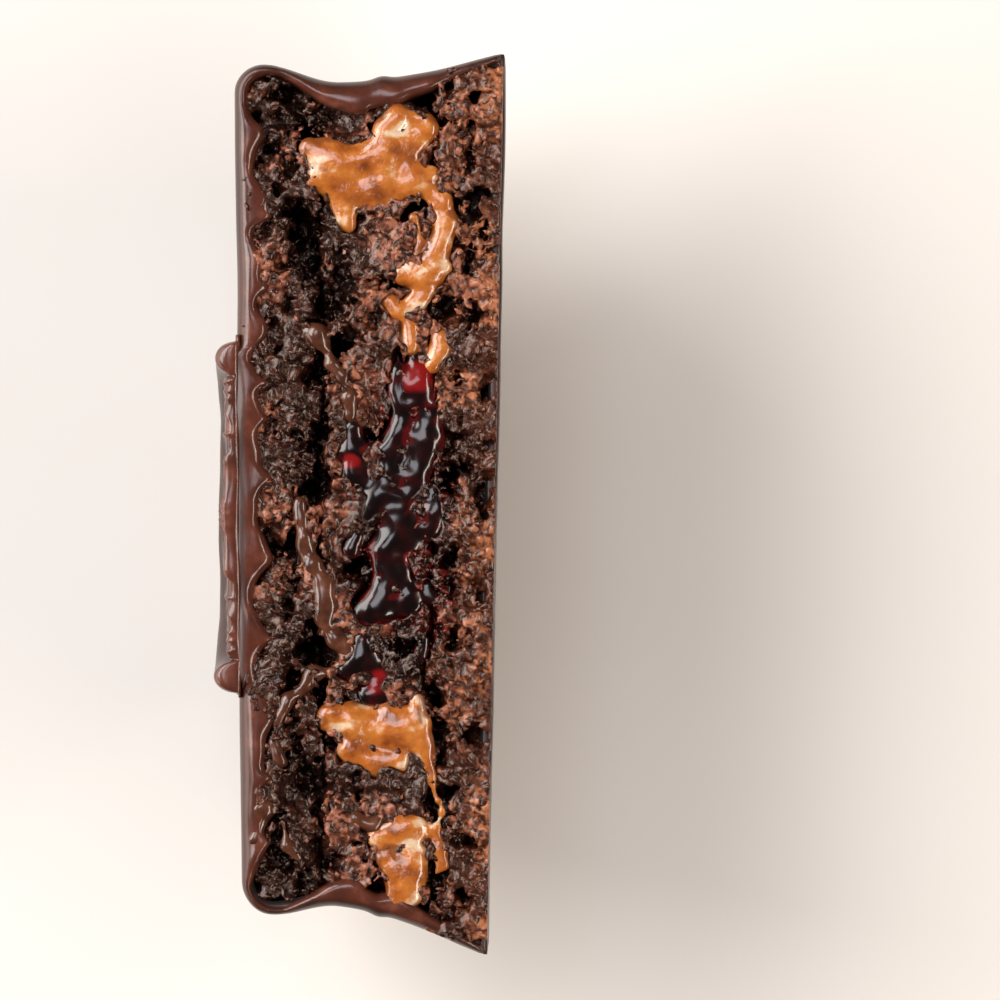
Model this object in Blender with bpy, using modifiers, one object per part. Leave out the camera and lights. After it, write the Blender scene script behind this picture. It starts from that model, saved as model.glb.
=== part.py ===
"""Half of a chocolate-coated alfajor, standing on its round rim with the cut face up.

The biscuit is a stack of half discs whose shared axis lies along Y: the stamped top faces -Y and
the base faces +Y. The stack runs, from the base: chocolate foot, base cookie, filling (a caramel
ring round a berry jam core), middle cookie, thin ganache, top cookie, chocolate top and seal.

Profiles are (radius, height) pairs in millimetres, where height is measured from the base along
the axis. They are turned with a Screw modifier, skewed and tapered a little like a hand-made
piece, and cut by a box whose top is the knife cut and whose bottom is the surface it rests on.
"""
import math

import bmesh
import bpy

MM = 0.001
GAP = 0.3

# Driving dimensions, in millimetres.
CUT_HEIGHT = 32.5
FOOT_RADIUS = 35.0
WAIST_RADIUS = 31.7
WAIST_LEVEL = 12.5
RIM_RADIUS = 32.8
RIM_ROUNDING = 2.4
COAT_TOP = 20.0
COAT_BASE = 0.5
BODY_MIDDLE = 11.17

# How the stack leans and tapers.
SKEW = -0.05
TAPER = -0.00142
FOOT_LIFT = 0.055

# The seal on the top.
SEAL_CENTRE_X = 1.2
SEAL_RADIUS = 13.5
SEAL_RING_WIDTH = 3.0
SEAL_RING_HEIGHT = 1.7
SEAL_DISC_HEIGHT = 0.75
SEAL_CIRCLE_RADIUS = 6.9
SEAL_BEADS = 40
SEAL_BEAD_ORBIT = 8.8
SEAL_BEAD_RADIUS = 0.34
ROSETTE_PETALS = 8
ROSETTE_RADIUS = 5.4

TURN_STEPS = 96
CUTTER_REACH = 60.0

# name: (bottom level, top level, bottom radius, top radius, depth below the cut)
LAYERS = {
    "cookie_base": (0.8, 4.9, 33.0, 31.2, 0.4),
    "cookie_middle": (9.5, 12.9, 30.0, 30.0, 0.6),
    "ganache_layer": (13.2, 14.2, 29.4, 29.4, 0.5),
    "cookie_top": (14.5, 18.0, 31.1, 31.1, 0.8),
}
FILLING_LEVELS = (5.2, 9.2)
DULCE_RADIUS = 29.9
JAM_RADIUS = 13.4
JAM_DEPTH = 0.3
CRUMB_CHAMFER = 0.5

# name: (red, green, blue, roughness), linear colour
FINISHES = {
    "chocolate": (0.045, 0.020, 0.014, 0.30),
    "seal_chocolate": (0.040, 0.022, 0.016, 0.38),
    "cookie_crumb": (0.028, 0.012, 0.008, 0.62),
    "ganache": (0.075, 0.026, 0.014, 0.22),
    "dulce_de_leche": (0.43, 0.14, 0.022, 0.20),
    "berry_jam": (0.06, 0.003, 0.003, 0.08),
}


def clear_scene():
    """Removes whatever the file holds."""
    for found in list(bpy.data.objects):
        bpy.data.objects.remove(found, do_unlink=True)


def new_collection(name):
    """Adds a collection to the scene."""
    made = bpy.data.collections.new(name)
    bpy.context.scene.collection.children.link(made)
    return made


def new_material(name):
    """Makes one Principled material from FINISHES."""
    red, green, blue, roughness = FINISHES[name]
    made = bpy.data.materials.new(name)
    made.use_nodes = True
    shader = made.node_tree.nodes["Principled BSDF"]
    shader.inputs["Base Color"].default_value = (red, green, blue, 1.0)
    shader.inputs["Roughness"].default_value = roughness
    shader.inputs["Metallic"].default_value = 0.0
    return made


def side_radius(level):
    """Outer radius of the coat at a height: a flared foot, a shallow waist and a full rim."""
    if level < WAIST_LEVEL:
        flare = (WAIST_LEVEL - level) / WAIST_LEVEL
        return WAIST_RADIUS + (FOOT_RADIUS - WAIST_RADIUS) * flare**1.5
    rise = min(1.0, (level - WAIST_LEVEL) / (COAT_TOP - RIM_ROUNDING - WAIST_LEVEL))
    return WAIST_RADIUS + (RIM_RADIUS - WAIST_RADIUS) * rise * rise * (3 - 2 * rise)


def coat_profile():
    """The coat's outer outline, from the top's centre down its side to the base's centre."""
    shoulder = COAT_TOP - RIM_ROUNDING
    points = [(0.0, COAT_TOP)]
    for step in range(7):
        angle = math.radians(90 - 15 * step)
        radius = RIM_RADIUS - RIM_ROUNDING + RIM_ROUNDING * math.cos(angle)
        points.append((radius, shoulder + RIM_ROUNDING * math.sin(angle)))
    side_steps = 14
    for step in range(1, side_steps + 1):
        level = shoulder * (1 - step / side_steps)
        points.append((side_radius(level), level))
    points.append((0.0, 0.0))
    return points


def cavity_profile():
    """The space inside the coat: every layer's outline, larger by the gap."""
    base, middle, top = (LAYERS[n] for n in ("cookie_base", "cookie_middle", "cookie_top"))
    filling_low, filling_high = FILLING_LEVELS
    return [
        (0.0, top[1] + GAP),
        (top[3] + GAP - CRUMB_CHAMFER, top[1] + GAP),
        (top[3] + GAP, top[1] + GAP - CRUMB_CHAMFER),
        (top[2] + GAP, top[0]),
        (middle[3] + GAP, top[0] - GAP),
        (middle[2] + GAP, filling_high + GAP / 2),
        (DULCE_RADIUS + GAP, filling_low + GAP),
        (base[3] + GAP, base[1]),
        (base[2] + GAP, base[0]),
        (base[2] + GAP - CRUMB_CHAMFER, base[0] - GAP),
        (0.0, base[0] - GAP),
    ]


def layer_profile(low, high, radius_low, radius_high, inner=0.0):
    """A disc, or a ring if inner is set, with its outer edges chamfered."""
    cut = min(CRUMB_CHAMFER, (high - low) * 0.3)
    points = [
        (inner, high),
        (radius_high - cut, high),
        (radius_high, high - cut),
        (radius_low, low + cut),
        (radius_low - cut, low),
        (inner, low),
    ]
    return points + [points[0]] if inner else points


def seal_profile():
    """The seal from its centre out: a disc with one raised circle, then a round ring."""
    back = COAT_TOP + GAP
    disc = back + SEAL_DISC_HEIGHT
    middle = SEAL_RADIUS - SEAL_RING_WIDTH / 2
    points = [(0.0, disc)]
    for radius, lift in ((-0.3, 0.0), (-0.15, 0.2), (0.15, 0.2), (0.3, 0.0)):
        points.append((SEAL_CIRCLE_RADIUS + radius, disc + lift))
    points += [(SEAL_RADIUS - SEAL_RING_WIDTH - 0.4, disc)]
    for step in range(11):
        angle = math.pi * (1 - step / 10)
        radius = middle + SEAL_RING_WIDTH / 2 * math.cos(angle)
        height = back + 0.45 + (SEAL_RING_HEIGHT - 0.45) * math.sin(angle)
        points.append((radius, height))
    return points + [(SEAL_RADIUS, back), (0.0, back)]


def settle(mesh, offset_x=0.0):
    """Leans and tapers a turned mesh, drawn in millimetres, and scales it to metres."""
    for vertex in mesh.vertices:
        x, y, level = vertex.co
        flare = max(0.0, (WAIST_LEVEL - level) / WAIST_LEVEL) ** 1.5
        x += offset_x + (SKEW * level if offset_x == 0.0 else 0.0)
        y *= 1 - FOOT_LIFT * flare
        level *= 1 + TAPER * x
        vertex.co = (x * MM, y * MM, level * MM)


def stand_up(obj):
    """Turns an object so that its own Z, the stack's axis, points along -Y at the cut's height."""
    obj.rotation_euler = (math.radians(90), 0.0, 0.0)
    obj.location = (0.0, BODY_MIDDLE * MM, CUT_HEIGHT * MM)


def evaluated_mesh(obj):
    """A copy of the mesh that an object's modifiers make; the object is then removed."""
    graph = bpy.context.evaluated_depsgraph_get()
    mesh = bpy.data.meshes.new_from_object(obj.evaluated_get(graph))
    bpy.data.objects.remove(obj, do_unlink=True)
    return mesh


def turned_mesh(name, profile):
    """A closed mesh of revolution in millimetres, from a profile at +X."""
    mesh = bpy.data.meshes.new(name)
    edges = [(i, i + 1) for i in range(len(profile) - 1)]
    mesh.from_pydata([(radius, 0.0, level) for radius, level in profile], edges, [])
    draft = bpy.data.objects.new(name + "_draft", mesh)
    bpy.context.scene.collection.objects.link(draft)
    screw = draft.modifiers.new("Turn", "SCREW")
    screw.steps = TURN_STEPS
    screw.render_steps = TURN_STEPS
    screw.use_merge_vertices = True
    screw.merge_threshold = 0.0001
    return evaluated_mesh(draft)


def welded(mesh):
    """Merges doubles and points every face outwards."""
    work = bmesh.new()
    work.from_mesh(mesh)
    bmesh.ops.remove_doubles(work, verts=work.verts, dist=0.0005)
    bmesh.ops.dissolve_degenerate(work, edges=work.edges, dist=0.0002)
    bmesh.ops.recalc_face_normals(work, faces=work.faces)
    work.to_mesh(mesh)
    work.free()


def add_object(name, mesh, collection, material=None):
    """Links a mesh as a named object standing in its place."""
    obj = bpy.data.objects.new(name, mesh)
    collection.objects.link(obj)
    mesh.materials.clear()
    if material:
        mesh.materials.append(material)
    stand_up(obj)
    return obj


def cut_with(obj, cutter, operation):
    """Adds a Boolean that cuts, joins or keeps."""
    boolean = obj.modifiers.new(cutter.name, "BOOLEAN")
    boolean.operation = operation
    boolean.solver = "EXACT"
    boolean.object = cutter


def hide_cutter(obj):
    """Marks an object as a tool that isn't part of the model."""
    obj.hide_render = True
    obj.display_type = "WIRE"


def keep_box(collection, depth):
    """The box that is kept: it ends `depth` below the knife cut and at the resting surface."""
    bpy.ops.mesh.primitive_cube_add(size=1.0)
    box = bpy.context.active_object
    box.name = f"keep_{depth:.1f}"
    height = (CUT_HEIGHT - depth) * MM
    reach = 2 * CUTTER_REACH * MM
    box.dimensions = (reach, reach, height)
    box.location = (0.0, 0.0, height / 2)
    for held_by in list(box.users_collection):
        held_by.objects.unlink(box)
    collection.objects.link(box)
    hide_cutter(box)
    return box


def seal_relief(collection):
    """The raised rosette and the ring of beads on the seal, as joining tools."""
    disc = COAT_TOP + GAP + SEAL_DISC_HEIGHT
    curve = bpy.data.curves.new("rosette", "CURVE")
    curve.dimensions = "2D"
    curve.fill_mode = "BOTH"
    curve.extrude = 0.3
    count = ROSETTE_PETALS * 12
    spline = curve.splines.new("POLY")
    spline.points.add(count - 1)
    spline.use_cyclic_u = True
    for i in range(count):
        angle = 2 * math.pi * (i + 0.5) / count
        radius = ROSETTE_RADIUS * (0.42 + 0.58 * abs(math.cos(ROSETTE_PETALS * angle / 2)))
        spline.points[i].co = (radius * math.cos(angle), radius * math.sin(angle), 0, 1)
    draft = bpy.data.objects.new("rosette_draft", curve)
    bpy.context.scene.collection.objects.link(draft)
    rosette = evaluated_mesh(draft)
    for vertex in rosette.vertices:
        vertex.co.z += disc
    beads = bmesh.new()
    for i in range(SEAL_BEADS):
        angle = 2 * math.pi * (i + 0.5) / SEAL_BEADS
        made = bmesh.ops.create_icosphere(beads, subdivisions=1, radius=SEAL_BEAD_RADIUS)
        place = (SEAL_BEAD_ORBIT * math.cos(angle), SEAL_BEAD_ORBIT * math.sin(angle), disc)
        bmesh.ops.translate(beads, verts=made["verts"], vec=place)
    bead_mesh = bpy.data.meshes.new("beads")
    beads.to_mesh(bead_mesh)
    beads.free()
    tools = []
    for name, mesh in (("rosette", rosette), ("beads", bead_mesh)):
        welded(mesh)
        settle(mesh, SEAL_CENTRE_X)
        tool = add_object(name, mesh, collection)
        hide_cutter(tool)
        tools.append(tool)
    return tools


def build():
    """Makes every node of the half alfajor."""
    clear_scene()
    body = new_collection("half_alfajor")
    tools = new_collection("cutters")
    materials = {name: new_material(name) for name in FINISHES}
    boxes = {}

    def node(name, profile, material, depth, offset_x=0.0):
        mesh = turned_mesh(name, profile)
        welded(mesh)
        settle(mesh, offset_x)
        obj = add_object(name, mesh, body, materials[material])
        if depth not in boxes:
            boxes[depth] = keep_box(tools, depth)
        return obj, boxes[depth]

    coat, box = node("chocolate_coat", coat_profile(), "chocolate", 0.0)
    cavity_mesh = turned_mesh("cavity", cavity_profile())
    welded(cavity_mesh)
    settle(cavity_mesh)
    cavity = add_object("cavity", cavity_mesh, tools)
    hide_cutter(cavity)
    cut_with(coat, box, "INTERSECT")
    cut_with(coat, cavity, "DIFFERENCE")

    for name, (low, high, radius_low, radius_high, depth) in LAYERS.items():
        material = "ganache" if name == "ganache_layer" else "cookie_crumb"
        profile = layer_profile(low, high, radius_low, radius_high)
        layer, box = node(name, profile, material, depth)
        cut_with(layer, box, "INTERSECT")

    low, high = FILLING_LEVELS
    ring_profile = layer_profile(low, high, DULCE_RADIUS, DULCE_RADIUS, JAM_RADIUS + GAP)
    dulce, box = node("dulce_ring", ring_profile, "dulce_de_leche", 0.1)
    cut_with(dulce, box, "INTERSECT")
    jam_profile = layer_profile(low, high, JAM_RADIUS, JAM_RADIUS)
    jam, box = node("jam_core", jam_profile, "berry_jam", JAM_DEPTH)
    cut_with(jam, box, "INTERSECT")

    seal, box = node("top_seal", seal_profile(), "seal_chocolate", 0.0, SEAL_CENTRE_X)
    for tool in seal_relief(tools):
        cut_with(seal, tool, "UNION")
    cut_with(seal, box, "INTERSECT")


build()
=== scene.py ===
"""Looks for half of a chocolate-coated alfajor that stands on its rim with the cut face up.

Lengths in the classes are millimetres in the cake's own axes: x runs along the cut, t goes up the
stack from the base, and w goes down from the knife cut. Meshes are written in metres.
"""
from __future__ import annotations

import itertools
import logging
import math
import time
from dataclasses import dataclass, field
from enum import Enum
from typing import Sequence

import bpy
import numpy as np
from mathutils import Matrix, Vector
from mathutils.bvhtree import BVHTree

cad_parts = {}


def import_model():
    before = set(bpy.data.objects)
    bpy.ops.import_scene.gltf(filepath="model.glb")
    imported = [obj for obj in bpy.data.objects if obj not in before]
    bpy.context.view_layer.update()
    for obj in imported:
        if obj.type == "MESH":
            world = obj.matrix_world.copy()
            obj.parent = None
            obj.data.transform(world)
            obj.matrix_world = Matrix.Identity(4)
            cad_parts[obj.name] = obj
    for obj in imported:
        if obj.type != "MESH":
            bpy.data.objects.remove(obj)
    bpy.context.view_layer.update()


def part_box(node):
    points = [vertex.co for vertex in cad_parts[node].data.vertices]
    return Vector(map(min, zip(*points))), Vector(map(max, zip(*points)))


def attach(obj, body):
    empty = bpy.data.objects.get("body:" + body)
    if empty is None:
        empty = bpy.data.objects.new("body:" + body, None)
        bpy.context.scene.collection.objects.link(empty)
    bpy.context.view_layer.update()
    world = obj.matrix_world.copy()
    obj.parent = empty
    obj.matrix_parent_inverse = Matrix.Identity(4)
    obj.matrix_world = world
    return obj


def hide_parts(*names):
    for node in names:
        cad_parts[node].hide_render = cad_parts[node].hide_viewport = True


LOG = logging.getLogger("alfajor")
START = time.perf_counter()
MM = 0.001
FAR = 9.0  # stands for a distance that is too long to matter
RIM_GAP = 0.05  # closes a solid that runs out of its block
NEAR_SKIN = 0.85  # grains are grown on what is this near to a surface
TRIANGLE_CAP = 168_000
Stroke = Sequence[tuple[float, float, float]]


def smooth_step(low: float, high: float, value: np.ndarray) -> np.ndarray:
    """Rises from 0 at low to 1 at high without a corner."""
    part = np.clip((value - low) / (high - low), 0.0, 1.0)
    return part * part * (3.0 - 2.0 * part)


def smooth_max(a: np.ndarray, b: np.ndarray, reach: float) -> np.ndarray:
    """The larger of two distances, rounded where they are within reach of each other."""
    share = np.clip(reach - np.abs(a - b), 0.0, None) / reach
    return np.maximum(a, b) + share * share * reach * 0.25


def smooth_min(a: np.ndarray, b: np.ndarray, reach: float) -> np.ndarray:
    """The smaller of two distances, rounded where they are within reach of each other."""
    return -smooth_max(-a, -b, reach)


def hashed(i: np.ndarray, j: np.ndarray, k: np.ndarray, seed: int) -> np.ndarray:
    """A repeatable number for each lattice point.

    Args:
        i: The points' whole numbers along x.
        j: The same along t.
        k: The same along w.
        seed: Chooses the numbers.

    Returns:
        Numbers from 0 to 1.
    """
    mixed = (i * 73856093) ^ (j * 19349663) ^ (k * 83492791) ^ (seed * 374761393)
    mixed = (mixed & 0xFFFFFFFF).astype(np.uint64)
    mixed = ((mixed ^ (mixed >> 15)) * 2246822519) & 0xFFFFFFFF
    mixed = ((mixed ^ (mixed >> 13)) * 3266489917) & 0xFFFFFFFF
    return ((mixed ^ (mixed >> 16)) & 0xFFFFFFFF).astype(np.float32) / 4294967295.0


@dataclass(frozen=True)
class Grid:
    """Lines of a block of space along x, t and w; they may be unevenly spaced."""

    x: np.ndarray
    t: np.ndarray
    w: np.ndarray

    def spread(self) -> tuple[np.ndarray, np.ndarray, np.ndarray]:
        """The three axes, shaped so that they broadcast over the block."""
        return self.x[:, None, None], self.t[None, :, None], self.w[None, None, :]

    def noise(self, size: float | tuple[float, float, float], seed: int) -> np.ndarray:
        """Smooth noise over the block, mostly between -1 and 1.

        Args:
            size: Width of a lump, or its width along x, t and w.
            seed: Chooses the pattern.

        Returns:
            One value for each point of the block.
        """
        sizes = size if isinstance(size, tuple) else (size, size, size)
        weights, firsts, counts = [], [], []
        for line, width in zip((self.x, self.t, self.w), sizes):
            place = line / width
            cell = np.floor(place).astype(np.int64)
            part = (place - cell).astype(np.float32)
            first = int(cell.min()) - 1
            count = int(cell.max()) + 3 - first
            matrix = np.zeros((len(line), count), np.float32)
            rows = np.arange(len(line))
            curve = (
                (1 - part) ** 3 / 6,
                (3 * part**3 - 6 * part**2 + 4) / 6,
                (-3 * part**3 + 3 * part**2 + 3 * part + 1) / 6,
                part**3 / 6,
            )
            for shift, share in enumerate(curve):
                matrix[rows, cell - first - 1 + shift] = share
            weights.append(matrix)
            firsts.append(first)
            counts.append(count)
        index = [np.arange(c) + f for c, f in zip(counts, firsts)]
        points = np.meshgrid(*index, indexing="ij")
        values = hashed(points[0], points[1], points[2], seed) * 2 - 1
        values = np.tensordot(weights[0], values, (1, 0))
        values = np.tensordot(values, weights[1], (1, 1)).transpose(0, 2, 1)
        values = np.tensordot(values, weights[2], (2, 1))
        return values * 2.5


def lines(low: float, high: float, step: float) -> np.ndarray:
    """Evenly spaced grid lines that cover low to high."""
    return np.arange(low, high + step, step, dtype=np.float32)


def point_noise(points: np.ndarray, size: float, seed: int) -> np.ndarray:
    """Smooth noise at loose points.

    Args:
        points: Places, one row each.
        size: Width of a lump.
        seed: Chooses the pattern.

    Returns:
        Noise from 0 to 1.
    """
    place = points / size
    cell = np.floor(place).astype(np.int64)
    part = place - cell
    part = part * part * (3 - 2 * part)
    total = np.zeros(len(points))
    for corner in range(8):
        step = np.array([corner & 1, corner >> 1 & 1, corner >> 2 & 1])
        share = np.prod(np.where(step, part, 1 - part), axis=1)
        at = cell + step
        total += share * hashed(at[:, 0], at[:, 1], at[:, 2], seed)
    return total


def nodules(points: np.ndarray, size: float, seed: int) -> tuple[np.ndarray, np.ndarray]:
    """Distance to the nearest of many scattered lumps, as a part of their size.

    Args:
        points: Places, one row each.
        size: Spacing of the lumps.
        seed: Chooses their places.

    Returns:
        The distances, and a number from 0 to 1 for the nearest lump of each point.
    """
    place = (points / size).astype(np.float32)
    cell = np.floor(place).astype(np.int64)
    low = cell.min(axis=0) - 1
    shape = cell.max(axis=0) + 2 - low
    index = np.meshgrid(*[np.arange(n) for n in shape], indexing="ij")
    homes = [line + start for line, start in zip(index, low)]
    tone = hashed(*homes, seed).ravel()
    shifts = [hashed(*homes, seed + 7 + axis) for axis in range(3)]
    jitter = np.stack([(at + shift).ravel() for at, shift in zip(homes, shifts)], 1).astype(np.float32)
    home = cell - low
    strides = np.array([shape[1] * shape[2], shape[2], 1])
    flat = home @ strides
    best = np.full(len(points), FAR, np.float32)
    owner = np.zeros(len(points), np.int64)
    for step in itertools.product((-1, 0, 1), repeat=3):
        near = np.clip(flat + np.dot(step, strides), 0, len(tone) - 1)
        gap = place - jitter[near]
        distance = np.einsum("ij,ij->i", gap, gap)
        closer = distance < best
        best = np.where(closer, distance, best)
        owner = np.where(closer, near, owner)
    return np.sqrt(best), tone[owner]


def stroke_gap(x: np.ndarray, t: np.ndarray, strokes: Sequence[Stroke], swell: float) -> np.ndarray:
    """Distance from places on the cut to the nearest edge of some strokes, negative inside.

    Args:
        x: Places along the cut; broadcast with t.
        t: Places up the stack.
        strokes: Runs of x, t and half width.
        swell: How much wider the strokes are than written.

    Returns:
        One distance for each place.
    """
    best = np.full(np.broadcast_shapes(x.shape, t.shape), FAR, np.float32)
    for stroke in strokes:
        for (x0, t0, r0), (x1, t1, r1) in zip(stroke, stroke[1:]):
            dx, dt = x1 - x0, t1 - t0
            part = np.clip(((x - x0) * dx + (t - t0) * dt) / max(dx * dx + dt * dt, 1e-6), 0, 1)
            gap = np.hypot(x - x0 - part * dx, t - t0 - part * dt)
            best = np.minimum(best, gap - swell * (r0 + part * (r1 - r0)))
    return best


def skin(block: np.ndarray, grid: Grid) -> tuple[np.ndarray, np.ndarray]:
    """Wraps the part of a block that is below zero in quads, one vertex to a cell.

    Args:
        block: Signed distances, negative in the solid.
        grid: Where the block's values are.

    Returns:
        Vertices in millimetres as x, t and w, and quads that face outwards.
    """
    block = block.astype(np.float32).copy()
    for axis in range(3):
        edge = [slice(None)] * 3
        for end in (0, -1):
            edge[axis] = end
            block[tuple(edge)] = np.maximum(block[tuple(edge)], RIM_GAP)
    solid = block < 0
    cells = tuple(n - 1 for n in block.shape)
    count = np.zeros(cells, np.int8)
    for corner in range(8):
        a, b, c = corner & 1, corner >> 1 & 1, corner >> 2 & 1
        count += solid[a : a + cells[0], b : b + cells[1], c : c + cells[2]]
    mixed = (count > 0) & (count < 8)
    at = np.argwhere(mixed)
    number = np.full(cells, -1, np.int64)
    number[mixed] = np.arange(len(at))
    corners = [(n & 1, n >> 1 & 1, n >> 2 & 1) for n in range(8)]
    values = np.stack([block[at[:, 0] + a, at[:, 1] + b, at[:, 2] + c] for a, b, c in corners], 1)
    places = np.stack(
        [
            np.stack([grid.x[at[:, 0] + a], grid.t[at[:, 1] + b], grid.w[at[:, 2] + c]], 1)
            for a, b, c in corners
        ],
        1,
    )
    total = np.zeros((len(at), 3))
    crossings = np.zeros(len(at))
    for first in range(8):
        for bit in (1, 2, 4):
            second = first | bit
            if second == first:
                continue
            one, two = values[:, first], values[:, second]
            crossed = (one < 0) != (two < 0)
            part = np.where(crossed, one / np.where(crossed, one - two, 1.0), 0.0)
            point = places[:, first] + part[:, None] * (places[:, second] - places[:, first])
            total += point * crossed[:, None]
            crossings += crossed
    vertices = total / crossings[:, None]
    quads = []
    for axis in range(3):
        one = [slice(0, -1) if n == axis else slice(1, -1) for n in range(3)]
        two = [slice(1, None) if n == axis else slice(1, -1) for n in range(3)]
        before, after = solid[tuple(one)], solid[tuple(two)]
        for leaves, crossed in ((True, before & ~after), (False, ~before & after)):
            spot = np.argwhere(crossed)
            u, v = [n for n in range(3) if n != axis]
            around = []
            for du, dv in ((0, 0), (1, 0), (1, 1), (0, 1)):
                cell = spot.copy()
                cell[:, u] += du
                cell[:, v] += dv
                around.append(number[cell[:, 0], cell[:, 1], cell[:, 2]])
            quad = np.stack(around, 1)
            turned = (axis == 1) == leaves
            quads.append(quad[:, ::-1] if turned else quad)
    return vertices, np.concatenate(quads)


@dataclass
class Stack:
    """The half cake's outer shape, and how its own axes lie in the frame."""

    cut_height: float
    base_face: float
    skew: float = -0.05
    taper: float = -0.00142
    foot_lift: float = 0.055
    foot_radius: float = 35.0
    waist_radius: float = 31.7
    waist_level: float = 12.5
    rim_radius: float = 32.8
    rim_rounding: float = 2.4
    top_level: float = 20.0
    table_step: float = 0.1
    table_floor: float = -4
    table: np.ndarray = field(init=False)

    def __post_init__(self) -> None:
        """Works out the distance table once."""
        self.table = self._distance_table()

    def side_radius(self, level: float) -> float:
        """Radius of the coat: flared foot, shallow waist, full rim.

        Args:
            level: Height above the base.

        Returns:
            The radius there.
        """
        if level < self.waist_level:
            flare = (self.waist_level - level) / self.waist_level
            return self.waist_radius + (self.foot_radius - self.waist_radius) * flare**1.5
        rise = (level - self.waist_level) / (self.top_level - self.rim_rounding - self.waist_level)
        rise = min(1.0, rise)
        return self.waist_radius + (self.rim_radius - self.waist_radius) * rise * rise * (3 - 2 * rise)

    def outline(self) -> list[tuple[float, float]]:
        """The coat's outline, from the top's centre to the base's.

        Returns:
            Radius and height of each point.
        """
        shoulder = self.top_level - self.rim_rounding
        points = [(-6.0, self.top_level)]
        for step in range(19):
            angle = math.radians(90 - 5 * step)
            reach = self.rim_radius - self.rim_rounding + self.rim_rounding * math.cos(angle)
            points.append((reach, shoulder + self.rim_rounding * math.sin(angle)))
        for step in range(1, 41):
            level = shoulder * (1 - step / 40)
            points.append((self.side_radius(level), level))
        points.append((-6.0, 0.0))
        return points

    def _distance_table(self) -> np.ndarray:
        """Works out how far places are from the outline.

        Returns:
            Signed distances on a fine table of radius and height.
        """
        radius = np.arange(0, 42, self.table_step)[:, None]
        level = np.arange(self.table_floor, 26, self.table_step)[None, :]
        best = np.full((radius.shape[0], level.shape[1]), 1e6)
        inside = np.zeros(best.shape, bool)
        outline = self.outline()
        for (r0, l0), (r1, l1) in zip(outline, outline[1:] + outline[:1]):
            dr, dl = r1 - r0, l1 - l0
            length = dr * dr + dl * dl
            if length < 1e-12:
                continue
            part = np.clip(((radius - r0) * dr + (level - l0) * dl) / length, 0, 1)
            gap = (radius - r0 - part * dr) ** 2 + (level - l0 - part * dl) ** 2
            best = np.minimum(best, gap)
            if l0 != l1:
                spans = (l0 > level) != (l1 > level)
                inside ^= spans & (radius < r0 + (level - l0) * dr / dl)
        distance = np.sqrt(best)
        return np.where(inside, -distance, distance).astype(np.float32)

    def level(self, x: np.ndarray, t: np.ndarray) -> np.ndarray:
        """Height in the untapered stack."""
        return t / (1 + self.taper * x)

    def outside(self, x: np.ndarray, t: np.ndarray, w: np.ndarray) -> np.ndarray:
        """How far places are outside the coat's outer face.

        Args:
            x: Places along the cut; x, t and w broadcast.
            t: Places up the stack.
            w: Places down from the cut.

        Returns:
            Signed distances, negative inside.
        """
        level = self.level(x, t)
        along = x - self.skew * level
        flare = np.clip((self.waist_level - level) / self.waist_level, 0, 1) ** 1.5
        radius = np.sqrt(along**2 + (w / (1 - self.foot_lift * flare)) ** 2)
        place_r = np.clip(radius / self.table_step, 0, self.table.shape[0] - 2)
        place_l = np.clip((level - self.table_floor) / self.table_step, 0, self.table.shape[1] - 2)
        place_l = np.broadcast_to(place_l, place_r.shape)
        low_r, low_l = place_r.astype(np.int64), place_l.astype(np.int64)
        part_r, part_l = place_r - low_r, place_l - low_l
        value = self.table[low_r, low_l] * (1 - part_r) * (1 - part_l)
        value += self.table[low_r + 1, low_l] * part_r * (1 - part_l)
        value += self.table[low_r, low_l + 1] * (1 - part_r) * part_l
        value += self.table[low_r + 1, low_l + 1] * part_r * part_l
        return value.astype(np.float32)

    def to_row(self, points: np.ndarray) -> np.ndarray:
        """Turns places of the cake into the frame's.

        Args:
            points: Rows of x, t and w in millimetres.

        Returns:
            Rows of X, Y and Z in metres.
        """
        moved = np.empty_like(points, dtype=np.float64)
        moved[:, 0] = points[:, 0]
        moved[:, 1] = self.base_face - points[:, 1]
        moved[:, 2] = self.cut_height - points[:, 2]
        return moved * MM


def as_piece(
    name: str,
    stack: Stack,
    vertices: np.ndarray,
    quads: np.ndarray,
    marks: dict[str, np.ndarray] | None = None,
) -> bpy.types.Object:
    """Makes a smooth-shaded object from a skin.

    Args:
        name: The piece's name.
        stack: Says where the cake's axes lie.
        vertices: Places in millimetres as x, t and w.
        quads: Four vertex numbers a row.
        marks: Numbers for each vertex that the finish reads as attributes.

    Returns:
        The new object, at the origin.
    """
    mesh = bpy.data.meshes.new(name)
    mesh.vertices.add(len(vertices))
    mesh.vertices.foreach_set("co", stack.to_row(vertices).astype(np.float32).ravel())
    mesh.loops.add(quads.size)
    mesh.loops.foreach_set("vertex_index", quads.astype(np.int32).ravel())
    mesh.polygons.add(len(quads))
    mesh.polygons.foreach_set("loop_start", np.arange(0, quads.size, 4, dtype=np.int32))
    mesh.update(calc_edges=True)
    mesh.validate()
    for mark, values in (marks or {}).items():
        layer = mesh.attributes.new(mark, "FLOAT", "POINT")
        layer.data.foreach_set("value", values.astype(np.float32))
    mesh.shade_smooth()
    piece = bpy.data.objects.new(name, mesh)
    bpy.context.scene.collection.objects.link(piece)
    return piece


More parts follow.
